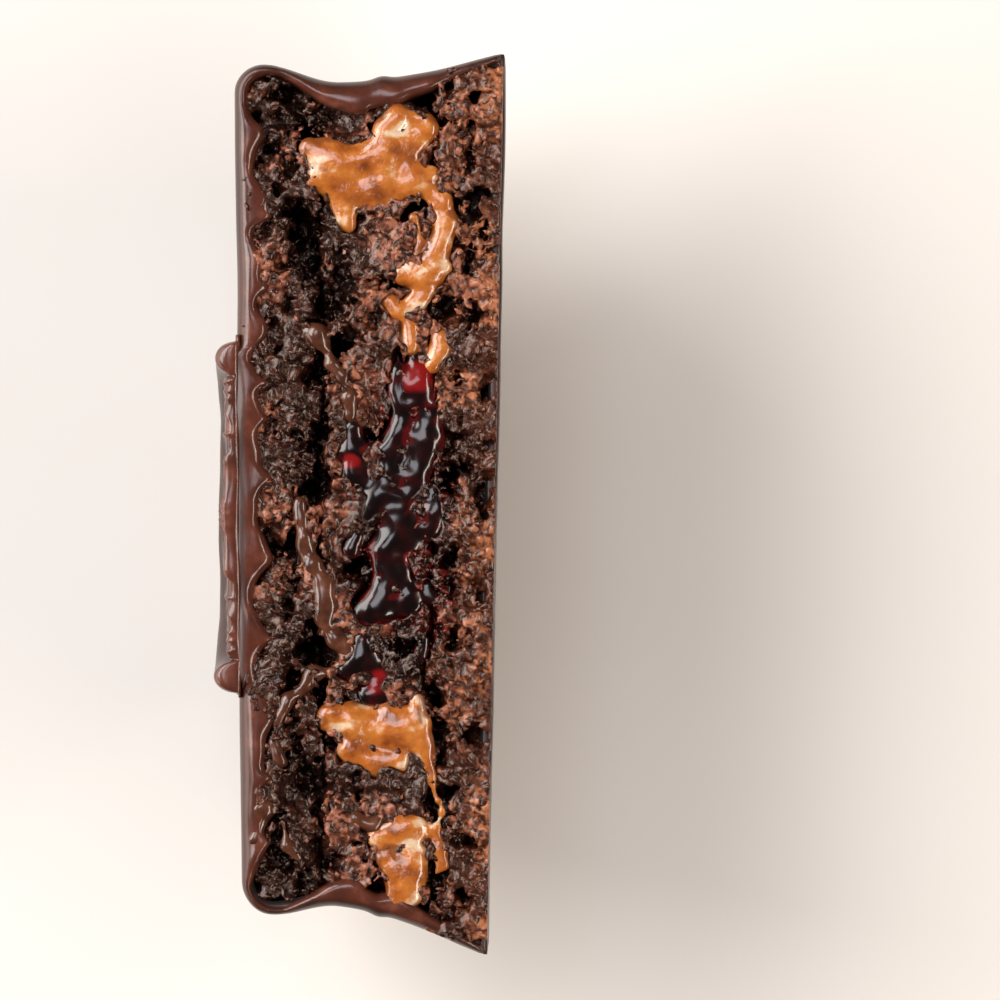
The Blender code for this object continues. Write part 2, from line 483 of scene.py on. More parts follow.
def run_modifier(piece: bpy.types.Object, kind: str, **settings: object) -> None:
    """Adds a modifier, keeps the mesh it makes and takes the modifier off again.

    Args:
        piece: The object to change.
        kind: The modifier's type.
        settings: The modifier's own properties.
    """
    modifier = piece.modifiers.new(kind.title(), kind)
    for key, value in settings.items():
        setattr(modifier, key, value)
    graph = bpy.context.evaluated_depsgraph_get()
    made = bpy.data.meshes.new_from_object(piece.evaluated_get(graph), depsgraph=graph)
    plain = piece.data
    piece.modifiers.clear()
    piece.data = made
    bpy.data.meshes.remove(plain)
    made.name = piece.name


def hold_down(piece: bpy.types.Object, cap: int = TRIANGLE_CAP) -> None:
    """Thins a mesh that has more triangles than the cap."""
    triangles = sum(len(face.vertices) - 2 for face in piece.data.polygons)
    if triangles > cap:
        run_modifier(piece, "DECIMATE", ratio=cap / triangles)


# --- finishes -------------------------------------------------------------------------------


def tint(code: str) -> tuple[float, float, float, float]:
    """Turns an sRGB hex colour into a linear one."""
    parts = [int(code[i : i + 2], 16) / 255 for i in (1, 3, 5)]
    red, green, blue = (p / 12.92 if p <= 0.04045 else ((p + 0.055) / 1.055) ** 2.4 for p in parts)
    return (red, green, blue, 1.0)


def add_node(
    tree: bpy.types.NodeTree,
    kind: str,
    inputs: dict[str | int, object] | None = None,
    out: str | int = 0,
    stops: Sequence[tuple[float, str]] = (),
    **settings: object,
) -> bpy.types.NodeSocket:
    """Adds a node with its settings, values and links.

    Args:
        tree: The material's node tree.
        kind: The node's type, without ShaderNode in front.
        inputs: For each input, by name or number, a value or a socket to link from.
        out: The wanted output, by name or number.
        stops: Places and sRGB colours along a colour ramp.
        settings: The node's own properties.

    Returns:
        The wanted output.
    """
    node = tree.nodes.new("ShaderNode" + kind)
    for key, value in settings.items():
        setattr(node, key, value)
    for key, value in (inputs or {}).items():
        if isinstance(value, bpy.types.NodeSocket):
            tree.links.new(value, node.inputs[key])
        else:
            node.inputs[key].default_value = value
    for number, (place, code) in enumerate(stops):
        elements = node.color_ramp.elements
        element = elements[number] if number < 2 else elements.new(place)
        element.position = place
        element.color = tint(code)
    return node.outputs[out]


def pattern(
    tree: bpy.types.NodeTree, size: float | tuple[float, float, float], detail: float = 3.0
) -> bpy.types.NodeSocket:
    """Lays noise over a piece.

    Args:
        tree: The material's node tree.
        size: Width of a lump in millimetres, or its width along each axis.
        detail: How many finer layers the noise has.

    Returns:
        The noise, from 0 to 1.
    """
    sizes = size if isinstance(size, tuple) else (size, size, size)
    place = add_node(tree, "TexCoord", out="Object")
    place = add_node(tree, "Mapping", {"Vector": place, "Scale": tuple(1 / MM / s for s in sizes)})
    return add_node(tree, "TexNoise", {"Vector": place, "Scale": 1.0, "Detail": detail}, "Fac")


@dataclass(frozen=True)
class Finish:
    """A material: its name, how its shader is set, and how its colour and relief are painted."""

    name: str
    roughness: float = 0.4
    ior: float = 1.5
    coat: float = 0.0
    coat_roughness: float = 0.1
    glint: str = "#ffffff"
    scatter: float = 0.0
    scatter_radius: tuple[float, float, float] = (1.0, 0.5, 0.2)
    scatter_scale: float = 0.001

    def paint(self, tree: bpy.types.NodeTree) -> dict[str, bpy.types.NodeSocket]:
        """Paints the finish; each kind of finish has its own way.

        Args:
            tree: The material's node tree.

        Returns:
            A socket for each of the shader's inputs that isn't even all over.
        """
        raise NotImplementedError

    def make(self) -> bpy.types.Material:
        """Builds the material.

        Returns:
            The new material.
        """
        material = bpy.data.materials.new(self.name)
        material.use_nodes = True
        tree = material.node_tree
        shader = tree.nodes["Principled BSDF"]
        values = {
            "Roughness": self.roughness,
            "IOR": self.ior,
            "Coat Weight": self.coat,
            "Coat Roughness": self.coat_roughness,
            "Specular Tint": tint(self.glint),
        }
        if self.scatter > 0:
            values["Subsurface Weight"] = self.scatter
            values["Subsurface Radius"] = self.scatter_radius
            values["Subsurface Scale"] = self.scatter_scale
        for key, value in values.items():
            shader.inputs[key].default_value = value
        for key, output in self.paint(tree).items():
            tree.links.new(output, shader.inputs[key])
        return material


@dataclass(frozen=True)
class CoatChocolate(Finish):
    """Tempered dark chocolate, poured over the cake, blown thin with air and left to set.

    The eye gets a dark, satin skin with faint lines along the pour and warmer, rubbed patches.
    The knife melts it a little, so the cut face is lighter, redder and glossier. The lines are
    finer on a real coat and are drawn as wide as they need to show.
    """

    streak: tuple[float, float, float] = (26.0, 1.6, 1.6)
    rubbed_patch: tuple[float, float, float] = (16.0, 3.0, 5.0)
    cut_mottle: float = 1.6
    drag_line: tuple[float, float, float] = (2.4, 0.45, 0.45)
    drag_height: float = 0.0002
    cut_roughness: float = 0.2

    def paint(self, tree: bpy.types.NodeTree) -> dict[str, bpy.types.NodeSocket]:
        """Paints streaks along the pour, rubbed patches, a glossy cut face and dull, painted shade inside.

        Args:
            tree: The material's node tree.

        Returns:
            The colour, roughness and relief.
        """
        cut = add_node(tree, "Attribute", out="Fac", attribute_name="cut")
        # The inner mark says where near-black shade is painted on the hollow's walls.
        inner = add_node(tree, "Attribute", out="Fac", attribute_name="inner")
        skin_colour = add_node(
            tree,
            "ValToRGB",
            {"Fac": pattern(tree, self.streak)},
            stops=((0.3, "#2e150f"), (0.55, "#371b12"), (0.75, "#432318")),
        )
        rubbed = add_node(
            tree,
            "ValToRGB",
            {"Fac": pattern(tree, self.rubbed_patch)},
            stops=((0.5, "#000000"), (0.8, "#ffffff")),
        )
        cut_colour = add_node(
            tree,
            "ValToRGB",
            {"Fac": pattern(tree, self.cut_mottle)},
            stops=((0.3, "#452319"), (0.55, "#592d21"), (0.75, "#744334")),
        )
        colour = skin_colour
        # Painted shade: the inner mark turns the hollow's walls near black (#0c0504).
        for share, other in ((rubbed, tint("#522d20")), (cut, cut_colour), (inner, tint("#0c0504"))):
            colour = add_node(tree, "Mix", {0: share, 6: colour, 7: other}, 2, data_type="RGBA")
        relief = add_node(
            tree,
            "Bump",
            {"Height": pattern(tree, self.drag_line), "Strength": 0.08, "Distance": self.drag_height},
        )
        gloss = add_node(
            tree, "MapRange", {"Value": cut, "To Min": self.roughness, "To Max": self.cut_roughness}
        )
        gloss = add_node(tree, "Math", {0: inner, 1: gloss}, operation="MAXIMUM")
        return {"Base Color": colour, "Roughness": gloss, "Normal": relief}


@dataclass(frozen=True)
class BiscuitCrumb(Finish):
    """Baked cocoa biscuit, soaked with fat and syrup and torn open by the knife.

    The eye gets clumps of grains, each with its own brown, with small warm glints on the moist
    grains; painted shade makes the crumb nearly black between grains and deep down. Cocoa grains
    are about 0.03 mm and are drawn ten times as coarse, so that they show. The baked base is
    warmer, and crumb near the jam is dark and wet.
    """

    cocoa_grain: float = 0.35
    crumb_pore: float = 0.2
    pore_depth: float = 0.0001
    grain_share: float = 0.75
    cocoa_share: float = 0.5
    wet_roughness: float = 0.12

    def paint(self, tree: bpy.types.NodeTree) -> dict[str, bpy.types.NodeSocket]:
        """Gives each grain its own brown with painted shade; marks say where the crumb is warmer or wet.

        Args:
            tree: The material's node tree.

        Returns:
            The colour, roughness and relief.
        """
        # The grain mark carries each grain's tone and the painted shade in crevices and deep down.
        grain = add_node(tree, "Attribute", out="Fac", attribute_name="grain")
        warm = add_node(tree, "Attribute", out="Fac", attribute_name="warm")
        wet = add_node(tree, "Attribute", out="Fac", attribute_name="wet")
        value = add_node(tree, "Math", {0: grain, 1: self.grain_share}, operation="MULTIPLY")
        value = add_node(
            tree,
            "Math",
            {0: pattern(tree, self.cocoa_grain), 1: self.cocoa_share, 2: value},
            operation="MULTIPLY_ADD",
        )
        brown = add_node(
            tree,
            "ValToRGB",
            {"Fac": value},
            stops=((0.2, "#0d0403"), (0.42, "#29120c"), (0.62, "#582e20"), (0.86, "#985e48")),
        )
        baked = add_node(
            tree,
            "ValToRGB",
            {"Fac": value},
            stops=((0.2, "#1c0a05"), (0.45, "#502616"), (0.82, "#ae6c47")),
        )
        colour = add_node(tree, "Mix", {0: warm, 6: brown, 7: baked}, 2, data_type="RGBA")
        soaked = {0: wet, 6: colour, 7: tint("#8a2018")}
        colour = add_node(tree, "Mix", soaked, 2, data_type="RGBA", blend_type="MULTIPLY")
        gloss = add_node(
            tree, "MapRange", {"Value": wet, "To Min": self.roughness, "To Max": self.wet_roughness}
        )
        relief = add_node(
            tree,
            "Bump",
            {"Height": pattern(tree, self.crumb_pore), "Strength": 0.9, "Distance": self.pore_depth},
        )
        return {"Base Color": colour, "Roughness": gloss, "Normal": relief}


@dataclass(frozen=True)
class Caramel(Finish):
    """Dulce de leche: milk and sugar cooked down to a dense caramel, spread while warm.

    The eye gets a glossy, nearly opaque amber, browner where it is thin, with pale cream patches
    painted in as sheen.
    """

    # Size of the amber streaks and of the painted cream sheen patches.
    streak: tuple[float, float, float] = (1.6, 2.2, 1.6)
    ripple: float = 0.5
    ripple_height: float = 0.0002

    def paint(self, tree: bpy.types.NodeTree) -> dict[str, bpy.types.NodeSocket]:
        """Paints a streaky amber with painted cream sheen over a slightly rippled skin.

        Args:
            tree: The material's node tree.

        Returns:
            The colour and relief.
        """
        # The palest stop, cream, is painted sheen on the amber.
        colour = add_node(
            tree,
            "ValToRGB",
            {"Fac": pattern(tree, self.streak, 4.0)},
            stops=((0.28, "#743712"), (0.46, "#ae6022"), (0.58, "#c07531"), (0.68, "#e2c6a6")),
        )
        thin = add_node(tree, "Attribute", out="Fac", attribute_name="thin")
        colour = add_node(tree, "Mix", {0: thin, 6: colour, 7: tint("#7c3f1a")}, 2, data_type="RGBA")
        relief = add_node(
            tree,
            "Bump",
            {"Height": pattern(tree, self.ripple), "Strength": 0.45, "Distance": self.ripple_height},
        )
        return {"Base Color": colour, "Normal": relief}


@dataclass(frozen=True)
class BerryJam(Finish):
    """Dark berries cooked with sugar to a wet, clear jam.

    The eye gets a mirror-like skin, near black where the jam is deep and crimson where it is thin.
    """

    clot: float = 1.2

    def paint(self, tree: bpy.types.NodeTree) -> dict[str, bpy.types.NodeSocket]:
        """Paints crimson at thin edges and over bits of fruit.

        Args:
            tree: The material's node tree.

        Returns:
            The colour.
        """
        thin = add_node(tree, "Attribute", out="Fac", attribute_name="thin")
        deep = add_node(
            tree,
            "ValToRGB",
            {"Fac": pattern(tree, self.clot, 2.0)},
            stops=((0.4, "#0b0102"), (0.62, "#1e0304"), (0.8, "#3a0708")),
        )
        colour = add_node(tree, "Mix", {0: thin, 6: deep, 7: tint("#7d1012")}, 2, data_type="RGBA")
        return {"Base Color": colour}


@dataclass(frozen=True)
class MeltedChocolate(Finish):
    """Soft chocolate cream, piped warm between the cookies and dragged by the knife.

    The eye gets a smooth, glossy milk brown that is slightly uneven.
    """

    mottle: float = 1.0

    def paint(self, tree: bpy.types.NodeTree) -> dict[str, bpy.types.NodeSocket]:
        """Paints a slightly uneven brown.

        Args:
            tree: The material's node tree.

        Returns:
            The colour.
        """
        colour = add_node(
            tree,
            "ValToRGB",
            {"Fac": pattern(tree, self.mottle)},
            stops=((0.3, "#3c1d14"), (0.55, "#55301f"), (0.8, "#704434")),
        )
        return {"Base Color": colour}


@dataclass(frozen=True)
class PaperFloor(Finish):
    """Uncoated warm white paper, pressed smooth: the eye gets an even, matt, warm white."""

    mottle: float = 40.0

    def paint(self, tree: bpy.types.NodeTree) -> dict[str, bpy.types.NodeSocket]:
        """Paints a trace of mottle.

        Args:
            tree: The material's node tree.

        Returns:
            The colour.
        """
        colour = add_node(
            tree,
            "ValToRGB",
            {"Fac": pattern(tree, self.mottle)},
            stops=((0.3, "#eceae6"), (0.7, "#efedea")),
        )
        return {"Base Color": colour}


COAT = CoatChocolate(
    "tempered_dark_chocolate",
    roughness=0.4,
    ior=1.45,
    coat=0.3,
    coat_roughness=0.18,
)
CRUMB = BiscuitCrumb(
    "cocoa_biscuit_crumb",
    roughness=0.25,
    ior=1.52,
    coat=0.38,
    coat_roughness=0.055,
    glint="#f4ccb8",
)
DULCE = Caramel(
    "dulce_de_leche",
    roughness=0.22,
    coat=0.8,
    coat_roughness=0.08,
    scatter=0.12,
    scatter_radius=(1.0, 0.6, 0.25),
    scatter_scale=0.0012,
)
JAM = BerryJam(
    "berry_jam",
    roughness=0.16,
    coat=0.12,
    coat_roughness=0.08,
    scatter=0.1,
    scatter_radius=(1.0, 0.1, 0.08),
    scatter_scale=0.001,
)
CREAM = MeltedChocolate("melted_chocolate_cream", roughness=0.2, coat=0.3, coat_roughness=0.08)
PAPER = PaperFloor("warm_white_paper", roughness=0.9)


# --- the pieces -----------------------------------------------------------------------------

BODY = "root"


class Slot(Enum):
    """Material slots."""

    CHOCOLATE = "chocolate"
    SEAL = "seal_chocolate"
    TOP = "cookie_crumb_top"
    MIDDLE = "cookie_crumb_middle"
    BASE = "cookie_crumb_base"
    GANACHE = "ganache"
    DULCE = "dulce_de_leche"
    JAM = "berry_jam"


def settle_piece(
    piece: bpy.types.Object, finish: bpy.types.Material, slot: Slot, *replaced: str
) -> None:
    """Dresses a piece, lets it ride on the body and hides the nodes that it stands for.

    Args:
        piece: The finished piece.
        finish: Its material.
        slot: Its material slot; not used.
        replaced: Names of the nodes that it stands for.
    """
    piece.data.materials.append(finish)
    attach(piece, BODY)
    if replaced:
        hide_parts(*replaced)
    LOG.info("%s: %d faces, %.1f s", piece.name, len(piece.data.polygons), time.perf_counter() - START)


@dataclass(frozen=True)
class PouredSkin:
    """The unevenness that pouring leaves on the coat: waves, drag lines and a ledge round the side."""

    wave: tuple[float, float, float] = (7.0, 4.0, 7.0)
    wave_height: float = 0.10
    ripple: tuple[float, float, float] = (2.6, 1.8, 2.6)
    ripple_height: float = 0.035
    drag_line: tuple[float, float, float] = (9.0, 40.0, 2.2)
    drag_height: float = 0.05
    drag_levels: tuple[float, float] = (18.5, 19.6)
    ledge_level: float = 9.6
    ledge_sway: float = 0.6
    ledge_sway_size: tuple[float, float, float] = (9.0, 60.0, 9.0)
    ledge_half: float = 0.7
    ledge_height: float = 0.22
    side_reaches: tuple[float, float] = (26.0, 31.0)

    def distance(self, stack: Stack, grid: Grid) -> np.ndarray:
        """How far places are outside the uneven coat.

        Args:
            stack: The half cake's even shape.
            grid: The block of places.

        Returns:
            Signed distances, negative inside.
        """
        x, t, w = grid.spread()
        level = stack.level(x, t)
        waves = self.wave_height * grid.noise(self.wave, 11)
        waves = waves + self.ripple_height * grid.noise(self.ripple, 12)
        drag = self.drag_height * grid.noise(self.drag_line, 13) * smooth_step(*self.drag_levels, level)
        sway = self.ledge_level + self.ledge_sway * grid.noise(self.ledge_sway_size, 14)
        ledge = self.ledge_height * np.exp(-(((level - sway) / self.ledge_half) ** 2))
        side = smooth_step(*self.side_reaches, np.sqrt(x**2 + w**2))
        return stack.outside(x, t, w) - waves - drag - ledge * side


POURED = PouredSkin()


@dataclass
class CoatBody:
    """The chocolate coat below the cut: top, side, foot and base, hollow where the cookies are.

    Lengths are in millimetres. The hollow ends in an uneven floor below all that shows.
    """

    stack: Stack
    step: float = 0.45
    shell: float = 1.0
    hollow: float = 9.0
    blend_low: float = 1.3
    blend_high: float = 2.6
    sink: float = 0.04
    start: float = 1.2
    flat_rest: float = 32.5
    floor_lump: float = 2.5
    floor_height: float = 1.2
    pits: int = 14
    pit_reaches: tuple[float, float] = (15.0, 29.0)
    pit_radii: tuple[float, float] = (0.25, 0.55)

    def build(self) -> bpy.types.Object:
        """Wraps the coat's solid in a skin.

        Returns:
            The piece, with the mark `inner` on the hollow's walls, where shade is painted.
        """
        stack = self.stack
        upper = lines(0.9, 6.0, 0.25)
        grid = Grid(
            lines(-36.5, 36.5, self.step),
            lines(-1.2, 22.4, self.step),
            np.concatenate([upper, lines(upper[-1] + self.step, 33.6, self.step)]),
        )
        x, t, w = grid.spread()
        outer = self._pitted(grid, POURED.distance(stack, grid))
        inset = self.sink * (1 - smooth_step(self.blend_low, self.blend_high, w))
        solid = outer + inset
        floor = w - self.hollow - self.floor_height * grid.noise(self.floor_lump, 15)
        cavity = smooth_max(outer + self.shell, floor, 0.6)
        solid = smooth_max(solid, -cavity, 0.4)
        solid = np.maximum(solid, self.start - w)
        solid = np.maximum(solid, w - self.flat_rest)
        vertices, quads = skin(solid, grid)
        # Marks the hollow's walls, which the finish paints near black as shade.
        inner = smooth_step(0.45, 0.8, -stack.outside(*vertices.T))
        return as_piece("coat_body", stack, vertices, quads, {"inner": inner})

    def _pitted(self, grid: Grid, outer: np.ndarray) -> np.ndarray:
        """Presses a few burst air bubbles into the top.

        Args:
            grid: The block of places.
            outer: Signed distances to the coat's outer face.

        Returns:
            The distances with the bubbles taken out.
        """
        random = np.random.default_rng(5)
        x, t, w = grid.spread()
        for _ in range(self.pits):
            angle, reach = random.uniform(0.1, math.pi - 0.1), random.uniform(*self.pit_reaches)
            radius = random.uniform(*self.pit_radii)
            px, pw = reach * math.cos(angle), reach * math.sin(angle)
            top = self.stack.top_level * (1 + self.stack.taper * px)
            gap = np.sqrt((x - px) ** 2 + (w - pw) ** 2 + ((t - top - 0.1) * 1.2) ** 2)
            outer = smooth_max(outer, radius - gap, 0.25)
        return outer


@dataclass
class CoatEdge:
    """The rim of the coat at the cut: rounded by the knife outside, scalloped over the crumb.

    `wall` lists heights up the stack and the coat's thickness there, at both ends of the cut.
    """

    stack: Stack
    step: float = 0.16
    depth: float = 3.2
    rounding: float = 1.6
    inner_rounding: float = 0.9
    seat_depth: float = 0.75
    thin_top: float = 1.35
    scallop: float = 1.35
    broad_scallop: float = 1.6
    base: float = 0.22
    side_reaches: tuple[float, float] = (27.5, 30.5)
    wall: Sequence[tuple[float, float]] = (
        (0.0, 0.35), (0.7, 0.7), (2.2, 0.8), (4.5, 1.3), (7.5, 2.1), (11.0, 2.5), (14.0, 1.4),
        (16.5, 0.7), (19.0, 0.8),
    )

    def thickness(self, grid: Grid) -> np.ndarray:
        """How thick the coat is at each place of the cut.

        Args:
            grid: The block of places.

        Returns:
            Thicknesses: scallops on the top, a wall that is thickest at the waist, a thin base.
        """
        x, t, _ = grid.spread()
        flat = Grid(grid.x, grid.t, np.zeros(1, np.float32))
        level = self.stack.level(x, t)
        lobes = 1 - np.abs(np.clip(flat.noise((1.7, 30.0, 9.0), 21), -1, 1))
        broad = smooth_step(12.0, 22.0, x) * np.clip(flat.noise((2.6, 30.0, 9.0), 22), 0, 1)
        top = self.thin_top + self.scallop * lobes**1.5 + self.broad_scallop * broad
        top = top + 0.25 * flat.noise(0.9, 23)
        wall = np.interp(level.ravel(), *zip(*self.wall)).reshape(level.shape)
        wall = wall * (1 + 0.25 * flat.noise((4.0, 1.8, 9.0), 24))
        base = self.base + 0.12 * flat.noise(0.8, 25)
        middle = np.where(level > self.stack.top_level / 2, top, base)
        ends = smooth_step(*self.side_reaches, np.abs(x + 0.4))
        return middle * (1 - ends) + wall * ends

    def build(self) -> bpy.types.Object:
        """Wraps the rim in a skin.

        Returns:
            The piece, with the mark `cut` on its cut face.
        """
        stack = self.stack
        grid = Grid(
            lines(-36.4, 36.4, self.step),
            lines(-1.0, 22.2, self.step),
            np.concatenate([lines(-0.5, 1.4, 0.12), lines(1.6, self.depth + 0.3, 0.22)]),
        )
        x, t, w = grid.spread()
        outer = POURED.distance(stack, grid)
        top = -w - 0.05 + 0.14 * grid.noise((2.2, 1.2, 30.0), 26)
        under_seal = smooth_step(13.3, 12.3, np.sqrt((x - 1.2) ** 2 + w**2))
        seat = under_seal * smooth_step(18.6, 19.4, stack.level(x, t))
        sunk = 0.04 * smooth_step(1.3, 2.6, w)
        solid = smooth_max(outer + sunk - self.seat_depth * seat, top, self.rounding)
        thick = self.thickness(grid)
        solid = smooth_max(solid, -(outer + thick), self.inner_rounding)
        solid = np.maximum(solid, w - self.depth)
        vertices, quads = skin(solid, grid)
        cut = smooth_step(0.25, 0.9, -stack.outside(*vertices.T))
        return as_piece("coat_edge", stack, vertices, quads, {"cut": cut})


@dataclass
class Cookie:
    """One cookie's torn edge: a band of crumb with hollows, lumps and grains.

    Args:
        name: The piece's name.
        stack: The half cake's shape.
        low: Height of the cookie's lower face in the stack.
        high: Height of its upper face.
        reach: How far it reaches along the cut, each way.
        seed: Chooses its patterns.
        hollows: Hollows that the knife tore out, as in HOLLOWS.
        step: Width of a cell of the block that its skin is wrapped round.
        depth: How far down from the cut it goes.
        ragged: Unevenness of its faces and ends.
        lift: Mean depth of its torn top below the cut.
        lumps: Unevenness of that top.
        sag: How much deeper the top lies in its sunk parts.
        shore: Depth of the crumb that borders a filling.
        pore: Width of a pore.
        closed: How few pores there are; above 1 there are none.
        bend: How far grains are bent out of round.
        bend_size: Width of one such bend.
        coarse: Size of a clump.
        fine: Size of a grain.
        spread: How much wider the band gets for each millimetre down.
        gape: How much wider the hollows are than they are listed.
        warm_base: How much of the crumb is baked to a warmer brown.
        pools: For each filling on the cut, its strokes, their swell and how deep the crumb lies there.
    """

    name: str
    stack: Stack
    low: float
    high: float
    reach: float
    seed: int
    hollows: Sequence[tuple[float, float, float, float, float, float]]
    step: float = 0.105
    depth: float = 4.2
    ragged: float = 0.45
    lift: float = 0.3
    lumps: float = 0.42
    sag: float = 0.75
    shore: float = 0.06
    pore: float = 1.05
    closed: float = 0.34
    bend: float = 0.55
    bend_size: float = 0.6
    coarse: float = 0.85
    fine: float = 0.36
    spread: float = 0.15
    gape: float = 1.6
    warm_base: float = 0.0
    pools: Sequence[tuple[Sequence[Stroke], float, float]] = ()

    def build(self) -> bpy.types.Object:
        """Wraps the crumb in a skin.

        Returns:
            The piece, with the marks `grain` (tone and painted shade), `warm` and `wet`.
        """
        stack = self.stack
        grid = Grid(
            lines(-self.reach - 1.6, self.reach + 1.2, self.step),
            lines(self.low - 1.4, self.high * 1.05 + 1.2, self.step),
            np.concatenate(
                [lines(-0.35, 1.6, self.step), lines(1.75, 2.8, 0.15), lines(3.0, self.depth + 0.3, 0.25)]
            ),
        )
        x, t, w = grid.spread()
        level = stack.level(x, t)
        along = x - stack.skew * level
        deeper = self.spread * np.clip(w - 0.8, 0, None)
        band = np.maximum(self.low - level, level - self.high) - deeper
        edge = self.ragged * grid.noise(1.7, self.seed) + 0.5 * self.ragged * grid.noise(0.7, self.seed + 1)
        solid = smooth_max(band + edge, self._surface(grid) - w, 0.4)
        solid = smooth_max(solid, np.sqrt(along**2 + w**2) - self.reach + edge, 0.4)
        self._carve(solid, grid)
        pores = grid.noise(self.pore, self.seed + 2)
        solid = smooth_max(solid, (pores - self.closed) * 0.9, 0.2)
        solid = np.maximum(solid, w - self.depth)
        self._grow_grains(solid, grid)
        solid += 0.035 * grid.noise(0.2, self.seed + 5)
        solid = np.maximum(solid, -0.3 - w)
        solid = smooth_max(solid, self.stack.outside(x, t, w) + 0.12, 0.1)
        vertices, quads = skin(solid, grid)
        marks = {
            "grain": self._grain_tone_and_painted_shade(vertices),
            "warm": self._warmth(vertices),
            "wet": self._wetness(vertices),
        }
        piece = as_piece(self.name, stack, vertices, quads, marks)
        hold_down(piece)
        return piece

    def _grow_grains(self, solid: np.ndarray, grid: Grid) -> None:
        """Grows clumps and grains on all that is near the crumb's surface.

        Args:
            solid: Signed distances to the crumb, changed in place.
            grid: The block of places.
        """
        near = np.abs(solid) < NEAR_SKIN
        index = np.argwhere(near)
        places = np.stack([grid.x[index[:, 0]], grid.t[index[:, 1]], grid.w[index[:, 2]]], 1)
        places = self._bent(places)
        clumps, _ = nodules(places, self.coarse, self.seed + 3)
        grains, _ = nodules(places, self.fine, self.seed + 4)
        solid[near] += 0.75 * self.coarse * (clumps - 0.55) + 0.85 * self.fine * (grains - 0.55)

    def _grain_tone_and_painted_shade(self, vertices: np.ndarray) -> np.ndarray:
        """Gives each grain its own tone, and paints shade into crevices and deep down.

        Args:
            vertices: Rows of x, t and w.

        Returns:
            Tones from 0 to 1: painted shade makes them darker in crevices and deep down, and they are
                darker in patches at random.
        """
        gap, grain = nodules(self._bent(vertices), self.fine, self.seed + 4)
        # Painted shade: darker in the crevices between grains.
        grain = grain * (1 - 0.55 * smooth_step(0.4, 0.75, gap))
        # Painted shade: darker the deeper below the cut.
        grain = grain * (1 - 0.9 * smooth_step(0.6, 1.8, vertices[:, 2]))
        patches = smooth_step(0.3, 0.65, point_noise(vertices, 3.0, self.seed + 14))
        return grain * (0.38 + 0.8 * patches)

    def _bent(self, points: np.ndarray) -> np.ndarray:
        """Bends space a little, so that no grain is round."""
        shift = [point_noise(points, self.bend_size, self.seed + 16 + i) - 0.5 for i in range(3)]
        return points + self.bend * np.stack(shift, 1).astype(np.float32)

    def _surface(self, grid: Grid) -> np.ndarray:
        """Shapes the crumb's torn top.

        Args:
            grid: The block of places.

        Returns:
            Its depth below the cut at each place: lumps, sunk parts, and pools with raised shores.
        """
        flat = Grid(grid.x, grid.t, np.zeros(1, np.float32))
        x, t, _ = flat.spread()
        depth = self.lift + self.lumps * flat.noise(2.3, self.seed + 6)
        depth = depth + 0.6 * self.lumps * flat.noise(1.0, self.seed + 7)
        depth = depth + self.sag * smooth_step(0.0, 0.5, flat.noise(3.8, self.seed + 15))
        ragged = 0.45 * flat.noise(0.9, self.seed + 12) + 0.3 * flat.noise(0.45, self.seed + 13)
        gaps = [stroke_gap(x, t, strokes, swell) for strokes, swell, _ in self.pools]
        shore = smooth_step(1.5, 0.3, np.minimum.reduce(gaps))
        depth = depth + shore * (self.shore - 0.8 * depth)
        for gap, (_, _, sunk) in zip(gaps, self.pools):
            under = smooth_step(-0.15, -0.75, gap + ragged)
            depth = depth + under * (sunk - 0.5 * depth)
        return depth

    def _carve(self, solid: np.ndarray, grid: Grid) -> None:
        """Tears the hollows out of the crumb, with ragged walls.

        Args:
            solid: Signed distances to the crumb, changed in place.
            grid: The block of places.
        """
        wobble = 0.4 * grid.noise(1.1, self.seed + 8) + 0.25 * grid.noise(0.5, self.seed + 11)
        for hx, ht, half_long, half_wide, deep, turn in self.hollows:
            if not self.low - 2 < ht < self.high + 2.5:
                continue  # the hollow is in another cookie
            reach = half_long + 1.0
            i0, i1 = np.searchsorted(grid.x, (hx - reach, hx + reach))
            j0, j1 = np.searchsorted(grid.t, (ht - reach, ht + reach))
            here = (slice(i0, i1), slice(j0, j1), slice(None))
            dx, dt = grid.x[i0:i1, None, None] - hx, grid.t[None, j0:j1, None] - ht
            c, s = math.cos(math.radians(turn)), math.sin(math.radians(turn))
            long, wide = (dx * c + dt * s) / half_long, (dt * c - dx * s) / (half_wide * self.gape)
            ring = np.sqrt(long**2 + wide**2 + (grid.w[None, None, :] / deep) ** 2)
            torn = (1.05 - ring) * half_wide + wobble[here] * 0.7
            solid[here] = smooth_max(solid[here], torn.astype(np.float32), 0.25)

    def _warmth(self, vertices: np.ndarray) -> np.ndarray:
        """Finds the warmer, baked crumb.

        Args:
            vertices: Rows of x, t and w.

        Returns:
            1 where the crumb is orange brown, near the base's face and in flecks; 0 where it is dark.
        """
        noise = point_noise(vertices, 1.8, self.seed + 9)
        baked = 1 - smooth_step(0.2, 3.0, vertices[:, 1] + 1.6 * (noise - 0.5))
        flecks = smooth_step(0.55, 0.8, point_noise(vertices, 0.7, self.seed + 10))
        return np.clip(self.warm_base * (0.25 + 0.75 * baked) + 0.3 * flecks, 0, 1)

    def _wetness(self, vertices: np.ndarray) -> np.ndarray:
        """Finds the crumb that jam has soaked.

        Args:
            vertices: Rows of x, t and w.

        Returns:
            1 in an uneven oval round the jam, 0 outside it.
        """
        x, t, _ = vertices.T
        noise = point_noise(vertices, 1.4, 61) - 0.5
        middle = np.sqrt(((x - 1.5) / 12.5) ** 2 + ((t - 7.0) / 4.2) ** 2) + 0.7 * noise
        return 1 - smooth_step(0.75, 1.15, middle)


